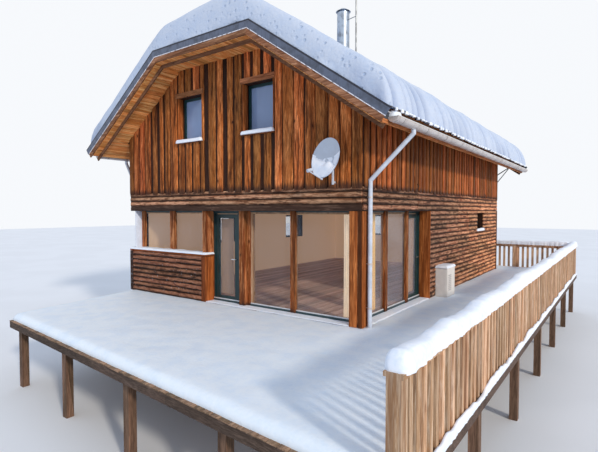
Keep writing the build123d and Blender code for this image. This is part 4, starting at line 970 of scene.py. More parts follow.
def lap_wall(bm, face, span, edges, joints, thick, rand, sway, holes=(), profile=LOG):
    """Level boards between the edges, cut near the joints and around the holes."""
    for low, high in zip(edges, edges[1:]):
        cuts = [span[0]] + [joint + rand.uniform(-0.02, 0.02) for joint in joints] + [span[1]]
        for s0, s1 in zip(cuts, cuts[1:]):
            for a, b, z0, z1 in trimmed((s0 + 0.002, s1 - 0.002, low, high), holes):
                top = z1 + (0.004 if z1 == high else 0)
                face.level(bm, a, b, z0 + 0.003, top, thick * rand.uniform(0.8, 1.1), profile=profile,
                           stations=max(2, int((b - a) / 0.5) + 1), sway=sway, rand=rand)


def band(faces, length, edges, joints, thick, rand, sway, profile=LOG):
    bm = bmesh.new()
    for face in faces:
        lap_wall(bm, face, (0.0, length), edges, joints, thick, rand, sway, (), profile)
    return bm


def parapet_boards(rand):
    bm = bmesh.new()
    edges = courses_between(FLOOR_Z, PARAPET.z - 0.005)
    lap_wall(bm, FRONT_LOWER, (0.115, PARAPET_TRIM), edges, [], 0.045, rand, 0.05)
    return bm


def side_walls(sizes, rand):
    bm = bmesh.new()
    edges = courses_between(FLOOR_Z, BAND_LOW)
    lap_wall(bm, RIGHT_LOWER, (SIDE_DOOR_END + 0.007, DEPTH - CORNER_TRIM), edges,
             [4.6, 5.62, 6.7, 7.69, 8.9], sizes.lap, rand, 0.09, SLOT_WINDOW)
    lap_wall(bm, LEFT_LOWER, (CORNER_TRIM, DEPTH - CORNER_TRIM), edges, [3.4, 6.9], sizes.lap, rand, 0.08,
             turned(LEFT_WINDOWS, DEPTH))
    return bm


def rear_wall(sizes, rand):
    bm = bmesh.new()
    lap_wall(bm, REAR_LOWER, (CORNER_TRIM, WIDTH - CORNER_TRIM), courses_between(FLOOR_Z, BAND_LOW), [3.5],
             sizes.lap, rand, 0.08, turned(REAR_WINDOWS, WIDTH))
    return bm


def trims(strips, rand):
    """Upright boards from the floor, each as (face, start, end, top, thickness, stations, sway)."""
    bm = bmesh.new()
    for face, s0, s1, top, thick, count, sway in strips:
        face.upright(bm, s0, s1, FLOOR_Z, (top, top), thick, stations=count, sway=sway, rand=rand)
    return bm


def window_jambs():
    bm = bmesh.new()
    for s0, s1, z0, z1 in UPPER_WINDOWS:
        for x, way in ((s0, 1), (s1, -1)):
            jamb = WallFace((x, -GABLE_LAP - 0.02, 0), (0, 1, 0), (way, 0, 0))
            jamb.upright(bm, 0.0, 0.15, z0 + 0.004, (z1 - 0.004, z1 - 0.004), 0.012, stations=3)
    return bm


class CHALET_OT_lower_cladding(Operator):
    """Lapped boards on the lower walls, the parapet and the band between the storeys, and their trim"""
    bl_idname = "chalet.lower_cladding"
    bl_label = "Lower Cladding"

    def execute(self, context):
        sizes = context.scene.chalet_boards
        lap = sizes.lap
        rand = random.Random(23)
        piece("parapet_boards", parapet_boards(rand), "Parapet Board")
        gables, sides = (FRONT_LOWER, REAR_LOWER), (RIGHT_LOWER, LEFT_LOWER)
        made = band(gables, WIDTH, band_courses(1), [2.35, 4.9], lap, rand, 0.08)
        piece("gable_band_boards", made, "Cross Board")
        made = band(gables, WIDTH, [BAND_LOW, BAND_LOW + COURSE], [3.1], lap * 0.7, rand, 0.04, LAP)
        piece("low_band_boards", made, "Low Band Board")
        made = band(sides, DEPTH, band_courses(0), [2.6, 5.62, 7.69], lap, rand, 0.08)
        piece("side_band_boards", made, "Wall Board")
        piece("side_wall_boards", side_walls(sizes, rand), "Wall Board")
        piece("rear_wall_boards", rear_wall(sizes, rand), "Cross Board")
        places = ((RIGHT_LOWER, DEPTH - 0.125), (LEFT_LOWER, 0.005), (REAR_LOWER, 0.005),
                  (REAR_LOWER, WIDTH - 0.125))
        corners = [(face, s, s + 0.12, BAND_LOW, 0.034, 5, 0.01) for face, s in places]
        corners.append((FRONT_LOWER, PARAPET_TRIM, PARAPET.x, PARAPET_TOP, 0.050, 5, 0.01))
        piece("corner_boards", trims(corners, rand), "Trim Board")
        dark = [(face, s, s + 0.11, PARAPET_TOP, 0.055, 6, 0.02)
                for face, s in ((FRONT_LOWER, 0.002), (LEFT_LOWER, DEPTH - 0.115))]
        piece("dark_corner_boards", trims(dark, rand), "Corner Board")
        side = WallFace((PARAPET.x, 0, 0), (0, 1, 0), (1, 0, 0))
        end = WallFace((WIDTH - RECESS, SIDE_DOOR_END, 0), (1, 0, 0), (0, -1, 0))
        reveals = [
            (side, -0.045, RECESS - 0.005, PARAPET_TOP, 0.018, 4, 0.01),
            (end, 0.012, RECESS + 0.03, BAND_LOW, 0.010, 6, 0.01),
            (FRONT_LOWER, POST.x + 0.002, POST.x + 0.158, BAND_LOW, 0.014, 6, 0.01),
            (RIGHT_LOWER, 0.004, 0.140, BAND_LOW, 0.014, 6, 0.01),
        ]
        piece("reveal_boards", trims(reveals, rand), "Reveal Board")
        facings = [(FRONT_LOWER, POST.x + 0.182, WIDTH - 0.002, BAND_LOW, 0.012, 6, 0.01),
                   (RIGHT_LOWER, 0.160, RECESS - 0.004, BAND_LOW, 0.008, 6, 0.01)]
        piece("post_facings", trims(facings, rand), "Trim Board")
        piece("window_jambs", window_jambs(), "Reveal Board")
        return {"FINISHED"}


# Soffits
SOFFIT_BOARD = 0.012


def slope_soffit(bm, side, edge, half, step, ends, rooms, rand):
    """The boards under one slope, from the eave inwards to the hip soffit."""
    while edge > half + 0.02:
        inner = max(edge - step, half)
        spans = ends + (rooms if inner <= CENTRE + GABLE_LAP else [(rooms[0][0], rooms[1][1])])
        for y0, y1 in spans:
            lines = []
            for off in (edge - 0.006, inner + 0.001):
                x, z = CENTRE + side * off, RIDGE_Z - ROOF_THICK - off * TAN
                lines.append((Vector((x, y0, z)), Vector((x, y1, z))))
            thick = SOFFIT_BOARD * rand.uniform(0.9, 1.15)
            board(bm, *lines, (-side * SIN, 0, -COS), thick, stations=max(2, int((y1 - y0) / 1.5)), sway=0.01,
                  rand=rand)
        edge -= step


class CHALET_OT_soffits(Operator):
    """Boards on the underside of the roof overhangs"""
    bl_idname = "chalet.soffit_boards"
    bl_label = "Soffit Boards"

    def execute(self, context):
        sizes = context.scene.chalet_boards
        rand = random.Random(31)
        bm = bmesh.new()
        near, stop, start = VERGE_Y + 0.032, VERGE_Y + 0.178, VERGE_Y + 0.208
        wall = -GABLE_LAP - 0.004
        half = (RIDGE_Z - ROOF_THICK - HIP_SOFFIT_Z) / TAN
        ends = [(near, stop), (DEPTH - stop, DEPTH - near)]
        rooms = [(start, wall), (DEPTH - wall, DEPTH - start)]
        for side, eave in ((-1, low_of("eave_soffits").x), (1, high_of("eave_soffits").x)):
            edge = abs(eave - CENTRE) - 0.002
            slope_soffit(bm, side, edge, half, sizes.soffit_width * COS, ends, rooms, rand)
        count = round(2 * half / sizes.soffit_width)
        width = 2 * half / count
        for index in range(count):
            x0 = CENTRE - half + index * width + 0.003
            x1 = x0 + width - 0.006
            for y0, y1 in ends + rooms:
                low, high = (((x, y0, HIP_SOFFIT_Z), (x, y1, HIP_SOFFIT_Z)) for x in (x0, x1))
                board(bm, low, high, -UP, SOFFIT_BOARD * rand.uniform(0.9, 1.15))
        piece("soffit_boards", bm, "Soffit Board")
        return {"FINISHED"}


# Snow
def lumps(x, y, z):
    return noise.noise(Vector((x, y, z)))


def within(value):
    return max(0.0, min(1.0, value))


def stations(low, high, step, rim=(0.0, 0.006, 0.018, 0.04, 0.075, 0.12)):
    """Places from low to high, closer together near both ends."""
    flat = high - low - 2 * rim[-1]
    count = max(2, round(flat / step))
    inner = [low + rim[-1] + flat * index / count for index in range(1, count)]
    return [low + r for r in rim] + inner + [high - r for r in reversed(rim)]


def blanket(bm, xs, ys, top, bottom):
    """A closed sheet over a grid of places, from its lower to its upper surface."""
    upper = [[bm.verts.new(top(x, y)) for y in ys] for x in xs]
    lower = [[bm.verts.new(bottom(x, y)) for y in ys] for x in xs]
    nx, ny = len(xs) - 1, len(ys) - 1
    for i in range(nx):
        for j in range(ny):
            bm.faces.new((upper[i][j], upper[i + 1][j], upper[i + 1][j + 1], upper[i][j + 1]))
            bm.faces.new((lower[i][j], lower[i][j + 1], lower[i + 1][j + 1], lower[i + 1][j]))
    for i in range(nx):
        bm.faces.new((upper[i][0], lower[i][0], lower[i + 1][0], upper[i + 1][0]))
        bm.faces.new((upper[i][ny], upper[i + 1][ny], lower[i + 1][ny], lower[i][ny]))
    for j in range(ny):
        bm.faces.new((upper[0][j], upper[0][j + 1], lower[0][j + 1], lower[0][j]))
        bm.faces.new((upper[nx][j], lower[nx][j], lower[nx][j + 1], upper[nx][j + 1]))


def swelling(distance, reach):
    """Rises from nothing at a rim to one, steeply first, like the round of settled snow."""
    return math.sqrt(max(0.0, 1 - (1 - within(distance / reach)) ** 2))


def soft_low(values, soft):
    """The lowest of some values, with the step between them rounded off."""
    least = min(values)
    return least - soft * math.log(sum(math.exp((least - value) / soft) for value in values))


def hip_planes(y):
    return HALF_HIP_Z + (y - VERGE_Y) * HIP_TAN, HALF_HIP_Z + (DEPTH - VERGE_Y - y) * HIP_TAN


def roof_plane(x, y):
    return min(RIDGE_Z - abs(x - CENTRE) * TAN, *hip_planes(y))


# Snow on the roof
class RoofSnow:
    """The surface of the roof snow, from its settings."""
    y_low, y_high = VERGE_Y + 0.015, DEPTH - VERGE_Y - 0.015

    def __init__(self, sizes):
        self.sizes, self.seed = sizes, sizes.seed

    def from_eave(self, x):
        return min(x - EAVE_LEFT, EAVE_RIGHT - x)

    def from_verge(self, y):
        return min(y - self.y_low, self.y_high - y)

    def fold(self, y):
        """How far the folds stand out, from where along the eave."""
        swell = y + 0.30 * lumps(0.9 * y, self.seed, 2) + 0.08 * lumps(3.1 * y, self.seed, 3)
        first = 1.9 * abs(math.sin(math.pi * swell / FOLD_PITCH)) ** 0.6 - 1
        small = 0.35 * lumps(5.3 * y, self.seed + 6.5, 0.7)
        return (0.62 + 0.5 * lumps(0.8 * y, self.seed, 8)) * first + small

    def bent(self, x, y):
        return self.fold(y + 0.08 * lumps(3 * x, y, self.seed))

    def depth(self, x, y):
        wander = 0.10 * lumps(0.9 * y, self.seed, 0) + 0.06 * lumps(2.7 * y, self.seed, 4)
        reach = self.sizes.shoulder * (1 + 1.2 * wander)
        share = min(swelling(self.from_eave(x), reach * 0.8),
                    swelling(self.from_verge(y), 0.17 * (1 + wander)))
        lee = 0.88 + 0.12 / (1 + math.exp(-(x - CENTRE) / 0.5))
        depth = self.sizes.roof_depth * share * lee
        depth += 0.022 * share * lumps(0.8 * x, 0.8 * y, self.seed)
        near_eave = math.exp(-self.from_eave(x) / 0.7)
        depth += self.sizes.flute * 0.7 * (self.bent(x, y) - 0.3) * share * near_eave
        depth += 0.016 * share * lumps(3.4 * x, 3.4 * y, self.seed + 9)
        return max(0.004, depth)

    def top(self, x, y):
        slope = RIDGE_Z - math.sqrt((x - CENTRE) ** 2 + 0.16 ** 2) * TAN
        surface = max(soft_low((slope, *hip_planes(y)), 0.05), roof_plane(x, y) - 0.12)
        return self.rimmed(Vector((x, y, surface + self.depth(x, y))))

    def rimmed(self, point):
        """The point moved with the folds near an eave, and a little near a verge."""
        x, y = point.xy
        eave, verge = self.from_eave(x), self.from_verge(y)
        if eave < 0.5:
            side = 1 if x > CENTRE else -1
            point.x += side * (0.5 - eave) / 0.5 * self.sizes.flute * (self.fold(y) - 0.45)
        if verge < 0.25:
            side = 1 if y > DEPTH / 2 else -1
            point.y += side * (0.25 - verge) / 0.25 * 0.02 * lumps(2.3 * x, self.seed, 5)
        return point

    def under(self, x, y):
        return Vector((x, y, roof_plane(x, y) + 0.001))

    # How much painted shade lies in a fold near the eaves
    def crease(self, x, y):
        fade = within(1.1 - max(0.0, self.from_eave(x)) / 0.75)
        return within(0.45 - self.bent(x, y)) * fade

    def across(self):
        """Places from eave to eave, closer together near the eaves."""
        fine, count = 0.05, 13
        low = [EAVE_LEFT + r for r in (0.0, 0.006, 0.018)]
        low += [EAVE_LEFT + fine * (index + 0.8) for index in range(count)]
        start = low[-1] + fine
        end = EAVE_RIGHT - (start - EAVE_LEFT)
        middle = round((EAVE_RIGHT - EAVE_LEFT - 1.4) / 0.13)
        high = [EAVE_RIGHT - fine * (index + 0.8) for index in reversed(range(count))]
        high += [EAVE_RIGHT - r for r in (0.018, 0.006, 0)]
        return low + [start + (end - start) * index / middle for index in range(middle + 1)] + high


class CHALET_OT_roof_snow(Operator):
    """Settled snow on the four roof slopes, rounded at its rims and fluted down the slopes"""
    bl_idname = "chalet.roof_snow"
    bl_label = "Roof Snow"

    def execute(self, context):
        snow = RoofSnow(context.scene.chalet_snow)
        bm = bmesh.new()
        blanket(bm, snow.across(), stations(snow.y_low, snow.y_high, 0.045), snow.top, snow.under)
        replaced = ("roof_snow_left", "roof_snow_right", "roof_snow_hips")
        made = piece("roof_snow", bm, "Roof Snow", replaced, 75)
        # The crease attribute carries the painted shade of the folds to the snow's finish
        creases = made.data.attributes.new("crease", "FLOAT", "POINT")
        for vert in made.data.vertices:
            creases.data[vert.index].value = snow.crease(vert.co.x - HOME.x, vert.co.y - HOME.y)
        return {"FINISHED"}


# Snow on the deck
SNOW_RIM = 0.02
SNOW_LEFT = 0.55


def distance_to(line, x, y):
    best = math.inf
    for (x0, y0), (x1, y1) in zip(line, line[1:]):
        dx, dy = x1 - x0, y1 - y0
        share = within(((x - x0) * dx + (y - y0) * dy) / (dx * dx + dy * dy))
        best = min(best, math.hypot(x - x0 - share * dx, y - y0 - share * dy))
    return best


def deck_edge(x):
    return DECK_LEFT_FRONT + (x - DECK_LEFT) * (DECK_FRONT - DECK_LEFT_FRONT) / (DECK_RIGHT - DECK_LEFT)


class CHALET_OT_deck_snow(Operator):
    """Smooth settled snow over the deck boards"""
    bl_idname = "chalet.deck_snow"
    bl_label = "Deck Snow"

    def execute(self, context):
        snow = context.scene.chalet_snow
        seed = snow.seed + 40
        inner, rear = high_of("deck_snow").xy
        wall, back, gap = WIDTH + 0.008, DEPTH + 0.008, -0.008
        rims = [(SNOW_RIM, gap), (SNOW_LEFT, deck_edge(SNOW_LEFT) + SNOW_RIM),
                (inner, deck_edge(inner) + SNOW_RIM), (inner, rear), (SNOW_RIM, rear), (SNOW_RIM, back)]
        walls = [(SNOW_RIM, gap), (wall, gap), (wall, back), (SNOW_RIM, back)]
        box_low, box_high = low_of("utility_box").y + 0.01, high_of("utility_box").y - 0.01
        box_out = high_of("utility_box").x - 0.005

        def top(x, y):
            edge, near = distance_to(rims, x, y), distance_to(walls, x, y)
            if wall - 0.1 < x < box_out and box_low < y < box_high:
                return Vector((x, y, 0.003))
            depth = snow.deck_depth * swelling(edge, 0.13 + 0.05 * lumps(1.3 * x, 1.3 * y, seed))
            depth *= 1 - 0.05 * max(0.0, 1 - near / 0.10)
            depth += 0.010 * lumps(0.7 * x, 0.7 * y, seed) * min(1, edge / 0.3)
            depth += 0.008 * lumps(2.4 * x, 2.4 * y, seed + 2) * min(1, edge / 0.3)
            depth += 0.007 * lumps(6.0 * x, 6.0 * y, seed + 5) * min(1, edge / 0.1)
            return Vector((x, y, max(0.003, depth)))

        def under(x, y):
            return Vector((x, y, 0.001))

        def fanned(maker):
            """The same surface over the front part, whose left and front edges run askew."""
            def place(u, v):
                x_front = SNOW_LEFT + (inner - SNOW_LEFT) * u
                x_back = SNOW_RIM + (inner - SNOW_RIM) * u
                y_front = deck_edge(x_front) + SNOW_RIM
                return maker(x_front + (x_back - x_front) * v, y_front + (gap - y_front) * v)
            return place

        bm = bmesh.new()
        rows = stations(0.0, 1.0, 0.022, (0.0, 0.002, 0.006, 0.013, 0.024, 0.036))
        columns = stations(0.0, 1.0, 0.009, (0.0, 0.0015, 0.004, 0.009, 0.016))
        blanket(bm, columns, rows, fanned(top), fanned(under))
        blanket(bm, stations(wall, inner, 0.07), stations(gap, rear, 0.08), top, under)
        blanket(bm, stations(SNOW_RIM, wall, 0.09), stations(back, rear, 0.08), top, under)
        piece("settled_deck_snow", bm, "Deck Snow", ("deck_snow",), 60)
        return {"FINISHED"}


# Snow on ledges
def drift(bm, x0, x1, y0, y1, base, depth, seed, reach=0.03, step=0.05):
    """A thin sheet of snow on a flat ledge, rounded at its rims."""
    rim = tuple(share * reach for share in (0.0, 0.1, 0.3, 0.6, 1.0))

    def top(x, y):
        edge = min(x - x0, x1 - x, y - y0, y1 - y)
        tall = depth * (1 + 0.22 * lumps(3.1 * x, 3.1 * y, seed) + 0.16 * lumps(9.0 * x, 9.0 * y, seed))
        tall *= swelling(edge, reach)
        wander = 0.35 * reach * lumps(7 * x, 7 * y, seed + 3) if edge < 0.5 * reach else 0.0
        return Vector((x + wander, y + wander, base + max(0.002, tall)))

    def under(x, y):
        return Vector((x, y, base + 0.0005))

    blanket(bm, stations(x0, x1, step, rim), stations(y0, y1, step, rim), top, under)


def ridge(bm, start, end, across, width, height, seed, step=0.05, swell=0.22, flute=0.004, base=0.0):
    """A long rounded heap of snow on a narrow ledge, closed at both ends."""
    start, end, across = Vector(start), Vector(end), Vector(across)
    length = (end - start).length
    count = max(6, int(length / step))
    rings = []
    for i in range(count + 1):
        along = i / count * length
        near = min(1.0, min(along, length - along) / (0.5 * width))
        cap = max(0.08, math.sqrt(max(0.0, 1 - (1 - near) ** 2)))
        middle = start.lerp(end, i / count)
        uneven = lumps(along * 1.5, seed, 0.3) + 0.4 * lumps(along * 5.1, seed, 2)
        tall = height * (1 + swell * uneven)
        wide = width * (1 + 0.10 * lumps(along * 2.0, seed, 5))
        ring = []
        for k in range(13):
            turn = math.pi * k / 12
            side = -math.copysign(abs(math.cos(turn)) ** 0.62, math.cos(turn))
            rise = math.sin(turn) ** 0.72
            bulge = 1 + 0.06 * lumps(along * 3 + k, seed, 9)
            rib = flute * lumps(along * 17, side * 2.0, seed + 1) * (1 - 0.4 * rise)
            out = side * 0.5 * wide * bulge * (0.4 + 0.6 * cap) + rib * side
            ring.append(bm.verts.new(middle + across * out + UP * (base + tall * rise * cap)))
        rings.append(ring)
    sleeve(bm, rings)


# The sideways direction of a heap that runs along x, and of one that runs along y
ALONG_X, ALONG_Y = (0, 1, 0), (1, 0, 0)


def railing_snow(depth):
    bm = bmesh.new()
    low, high = low_of("right_railing"), high_of("right_railing")
    rear_low, rear_high = low_of("rear_railing"), high_of("rear_railing")
    x, y, z = (low.x + high.x) / 2, (rear_low.y + rear_high.y) / 2, high.z
    rail = dict(step=0.028, swell=0.34, flute=0.022, base=-0.012)
    ridge(bm, (x, low.y + 0.015, z), (x, rear_high.y - 0.015, z), ALONG_Y, 0.225, depth, 1.7, **rail)
    ridge(bm, (rear_low.x + 0.01, y, z), (rear_high.x - 0.014, y, z), ALONG_X, 0.215, depth, 4.2, **rail)
    return bm


def sill_snow():
    bm = bmesh.new()
    for s0, s1, sill, _ in UPPER_WINDOWS:
        x0, x1, y = s0 - 0.03, s1 + 0.03, -0.060
        ridge(bm, (x0, y, sill - 0.005), (x1, y, sill - 0.005), ALONG_X, 0.105, 0.085, x0, 0.02, 0.25, 0.003)
        drift(bm, x0 + 0.04, x1 - 0.04, -0.03, 0.13, sill + 0.002, 0.03, x0, 0.02)
    start, end, sill, _ = SLOT_WINDOW[0]
    x, z = WIDTH + 0.028, sill - 0.005
    ridge(bm, (x, start - 0.04, z), (x, end + 0.04, z), ALONG_Y, 0.085, 0.075, 3.0, 0.03, 0.25, 0.003)
    low, high = low_of("utility_box"), high_of("utility_box")
    drift(bm, low.x - 0.01, high.x + 0.015, low.y - 0.015, high.y + 0.015, high.z, 0.060, 5.0, 0.05)
    x, z = DECK_RIGHT + 0.012, -0.012
    ridge(bm, (x, DECK_FRONT, z), (x, DECK_REAR - 0.05, z), ALONG_Y, 0.050, 0.075, 8.0, 0.03, 1.1, 0.012)
    return bm


def recess_snow():
    bm = bmesh.new()
    glass_y = RECESS - 0.015
    drift(bm, -0.035, PARAPET.x + 0.035, -0.056, glass_y, PARAPET.z + 0.041, 0.050, 11.0, 0.03, 0.0598)
    floor = FLOOR_Z + 0.001
    drift(bm, PARAPET.x + 0.005, POST.x - 0.002, -0.030, glass_y, floor, 0.016, 12.0, 0.05, 0.06)
    drift(bm, WIDTH - RECESS + 0.012, WIDTH + 0.025, RECESS + 0.005, SIDE_DOOR_END - 0.005, floor, 0.016,
          13.0, 0.05, 0.0602)
    return bm


def eave_fringe():
    """Drops of snow along both eaves, and the lump over the front right gutter."""
    bm = bmesh.new()
    rand = random.Random(67)
    for x, level in ((EAVE_RIGHT + 0.012, RIDGE_Z - (EAVE_RIGHT - CENTRE) * TAN - 0.004),
                     (EAVE_LEFT - 0.012, RIDGE_Z - (CENTRE - EAVE_LEFT) * TAN)):
        y = VERGE_Y + 0.25
        while y < DEPTH - VERGE_Y - 0.2:
            long = rand.uniform(0.05, 0.14)
            drop = rand.uniform(0.02, 0.055)
            ridge(bm, (x, y, level), (x, y + long, level), ALONG_Y, 0.05, drop * 1.2, y, 0.02, 0.3, 0.002,
                  base=-drop * 0.75)
            y += long + rand.uniform(0.01, 0.16)
    start = (EAVE_RIGHT - 0.065, VERGE_Y + 0.235, GUTTER_TOP - 0.005)
    end = (EAVE_RIGHT - 0.035, VERGE_Y + 0.50, GUTTER_TOP + 0.005)
    ridge(bm, start, end, ALONG_Y, 0.13, 0.11, 2.0, 0.02, 0.5, 0.006)
    return bm


class CHALET_OT_ledge_snow(Operator):
    """Heaps of snow on the railings, the window sills, the box, the rim of the deck and the eaves"""
    bl_idname = "chalet.ledge_snow"
    bl_label = "Ledge Snow"

    def execute(self, context):
        depth = context.scene.chalet_snow.rail_depth
        piece("railing_snow", railing_snow(depth), "Ledge Snow", ("rail_snow",), 80)
        piece("sill_snow", sill_snow(), "Ledge Snow", ("ledge_snow",), 70)
        piece("recess_snow", recess_snow(), "Ledge Snow", (), 70)
        piece("eave_fringe", eave_fringe(), "Ledge Snow", (), 80)
        return {"FINISHED"}


# Metalwork: the hooks' places are given along and up the long wall
HOOKS = ((2.446, 2.793), (8.303, 2.753))
GUTTER_START, GUTTER_END = VERGE_Y + 0.225, DEPTH - VERGE_Y - 0.04


def tube(bm, path, radius, sides=10):
    """A round bar through the points of a path, closed at both ends."""
    path = [Vector(point) for point in path]
    turns = [2 * math.pi * k / sides for k in range(sides)]
    rings = []
    for i, middle in enumerate(path):
        along = (path[min(i + 1, len(path) - 1)] - path[max(i - 1, 0)]).normalized()
        side = along.cross(UP if abs(along.z) < 0.9 else Vector((1, 0, 0))).normalized()
        over = side.cross(along)
        outs = [side * math.cos(turn) + over * math.sin(turn) for turn in turns]
        rings.append([bm.verts.new(middle + out * radius) for out in outs])
    sleeve(bm, rings)


def gutter_beads():
    bm = bmesh.new()
    gutters = low_of("gutters").x + 0.002, high_of("gutters").x - 0.002
    eaves = low_of("eave_boards").x - 0.024, high_of("eave_boards").x + 0.024
    for (left, right), z, longer, radius in ((gutters, GUTTER_TOP + 0.002, 0.0, 0.011),
                                             (eaves, GUTTER_TOP + 0.075, 0.2, 0.013)):
        start, span = GUTTER_START - longer, GUTTER_END + longer - GUTTER_START
        for x in (left, right):
            tube(bm, [(x, start + span * i / 24, z) for i in range(25)], radius)
    return bm


# A dark strip of roof sheet over the upper part of each eave board: a drip flashing, and painted shade
# between the gutter and the roof edge
def drip_flashings():
    bm = bmesh.new()
    foot, head = GUTTER_TOP - 0.04, GUTTER_TOP + 0.115
    for x, way in ((high_of("eave_boards").x + 0.001, 1), (low_of("eave_boards").x - 0.001, -1)):
        wall = WallFace((x, 0, 0), (0, 1, 0), (way, 0, 0))
        wall.level(bm, GUTTER_START - 0.19, GUTTER_END + 0.005, foot, head, 0.008, stations=12)
    return bm


def glazing_strips(strips, wide=()):
    """Level strips on the glazing line, each as (low, high, thickness), wherever it has no wall."""
    front = WallFace((0, RECESS, 0), (1, 0, 0), (0, -1, 0))
    side = WallFace((WIDTH - RECESS, 0, 0), (0, 1, 0), (1, 0, 0))
    bm = bmesh.new()
    for wall, s0, s1 in ((front, FRONT_DOOR[0] + 0.005, FRONT_DOOR[1] - 0.005),
                         (front, PIER_END + 0.005, POST.x - 0.005),
                         (side, RECESS + 0.012, SIDE_DOOR_END - 0.005)):
        for low, high, thick in strips:
            wall.level(bm, s0, s1, low, high, thick)
    for low, high, thick in wide:
        front.level(bm, 0.0, PARAPET.x - 0.12, low, high, thick)
    return bm


def wall_hooks():
    bm = bmesh.new()
    x = WIDTH + GABLE_LAP
    for y, z in HOOKS:
        bend = ((0, 0.05), (0.05, 0.045), (0.075, 0), (0.06, -0.05), (0.035, -0.06))
        tube(bm, [(x + out, y, z + rise) for out, rise in bend], 0.010, 8)
    return bm


# A pale blue-white panel on the left cheek of the recess; its pale colour is partly the panel's own and
# partly painted light on the cheek
def corner_screen():
    bm = bmesh.new()
    screen = WallFace((0.170, 0.0, 0), (0, 1, 0), (1, 0, 0))
    top = BAND_LOW - 0.002
    screen.upright(bm, 0.0, RECESS - 0.005, PARAPET.z + 0.042, (top, top), 0.014, stations=3)
    return bm


def box_face(along, out):
    corner = low_of("utility_box")
    return WallFace((high_of("utility_box").x if out[0] else corner.x, corner.y, 0), along, out)


def box_covers():
    bm = bmesh.new()
    box_face((1, 0, 0), (0, -1, 0)).level(bm, 0.03, 0.28, 0.20, 0.80, 0.006)
    box_face((0, 1, 0), (1, 0, 0)).level(bm, 0.03, 0.57, 0.20, 0.80, 0.006)
    return bm


def box_grille():
    bm = bmesh.new()
    for index in range(9):
        z = 0.30 + 0.045 * index
        box_face((0, 1, 0), (1, 0, 0)).level(bm, 0.08, 0.30, z, z + 0.018, 0.004, lift=0.006)
    return bm


class CHALET_OT_metalwork(Operator):
    """Beads and strips, the hooks on the long wall, the corner screen and the covers of the box"""
    bl_idname = "chalet.metalwork"
    bl_label = "Metalwork"

    def execute(self, context):
        piece("gutter_beads", gutter_beads(), "Bead Zinc")
        piece("drip_flashings", drip_flashings(), "Roof Sheet")
        head = BAND_LOW - 0.001
        dark = ((FLOOR_Z + 0.001, FLOOR_Z + 0.055, 0.030), (head - 0.024, head, 0.020))
        strips = glazing_strips(dark, ((head - 0.034, head, 0.020),))
        piece("sill_strips", strips, "Sill Metal")
        pale = glazing_strips(((FLOOR_Z + 0.056, FLOOR_Z + 0.078, 0.020),))
        piece("pale_strips", pale, "Pale Strip")
        piece("wall_hooks", wall_hooks(), "Dark Fitting")
        piece("corner_screen", corner_screen(), "Screen Coat")
        piece("box_covers", box_covers(), "Box Coat")
        piece("box_grille", box_grille(), "Grille Coat")
        return {"FINISHED"}


# Curtains and blinds, with their lower and upper edges
CURTAIN, BLIND = (0.19, 2.20), (0.33, 2.075)
ROD_Z = BAND_LOW - 0.045
ROD_X, ROD_Y = 6.50, 0.42


def hanging(name, finish, start, end, edges, folds, swing, body, seed):
    """A hung cloth from one place to another, with folds that widen downwards."""
    start, end = Vector((*start, 0)), Vector((*end, 0))
    low, high = edges
    run = end - start
    side = Vector((-run.y, run.x, 0)).normalized()
    count = max(16, folds * 10)
    rows = 14

    def place(u, v, lift):
        wide = swing * (0.65 + 0.35 * v)
        bend = wide * math.sin(2 * math.pi * folds * u + 0.5 * lumps(2 * u, v, seed)) if folds else 0.0
        bend += 0.25 * wide * lumps(4 * u, 1.5 * v, seed)
        return start + run * u + side * (bend + lift) - UP * ((high - low) * v)

    middle = [place(k / count, 0.5, 0) for k in range(count + 1)]
    flat = sum((after - before).length for before, after in zip(middle, middle[1:]))
    start.z = high
    bm = bmesh.new()
    us = [k / count for k in range(count + 1)]
    vs = [k / rows for k in range(rows + 1)]
    blanket(bm, us, vs, lambda u, v: place(u, v, 0.0007), lambda u, v: place(u, v, -0.0007))
    made = piece(name, bm, finish, body=body)


class CHALET_OT_curtains(Operator):
    """Curtains beside the corner post and blinds on the two doors"""
    bl_idname = "chalet.curtains"
    bl_label = "Curtains and Blinds"

    def execute(self, context):
        bm = bmesh.new()
        tube(bm, [(5.35, ROD_Y, ROD_Z), (ROD_X, ROD_Y, ROD_Z)], 0.012)
        tube(bm, [(ROD_X, ROD_Y + 0.03, ROD_Z), (ROD_X, 2.40, ROD_Z)], 0.012)
        piece("curtain_rods", bm, "Brushed Steel")
        for name, finish, start, end, folds, seed in (
                ("front_curtain", "Cream Cloth", (ROD_X - 0.17, ROD_Y), (ROD_X - 0.01, ROD_Y), 3, 3.1),
                ("side_curtain", "Straw Cloth", (ROD_X, 1.12), (ROD_X, 1.40), 4, 5.3)):
            hanging(name, finish, start, end, CURTAIN, folds, 0.030, "chalet",
                    seed)
        for door, start, end, seed in (("front_door", (3.075, 0.328), (3.475, 0.328), 7.7),
                                       ("side_door", (6.618, 2.86), (6.618, 3.215), 9.9)):
            hanging(door + "_blind", "Blind Cloth", start, end, BLIND, 0, 0.006, door,
                    seed)
        return {"FINISHED"}


class CHALET_OT_deck_ends(Operator):
    """Ends of the deck boards where they lie on the front rim"""
    bl_idname = "chalet.deck_ends"
    bl_label = "Deck Board Ends"

    def execute(self, context):
        rand = random.Random(41)
        bm = bmesh.new()
        pitch, wide = 0.145, 0.137
        x = DECK_LEFT + 0.01
        while x < DECK_RIGHT - 0.06:
            end = x + min(wide, DECK_RIGHT - x)
            nose = rand.uniform(-0.008, 0.004)
            low, high = (((side, deck_edge(side) - 0.036 + nose, 0.0), (side, deck_edge(side) + 0.214, 0.0))
                         for side in (x, end))
            board(bm, low, high, UP, 0.010 * rand.uniform(0.7, 1.3))
            x += pitch
        piece("deck_board_ends", bm, "Deck End")
        return {"FINISHED"}


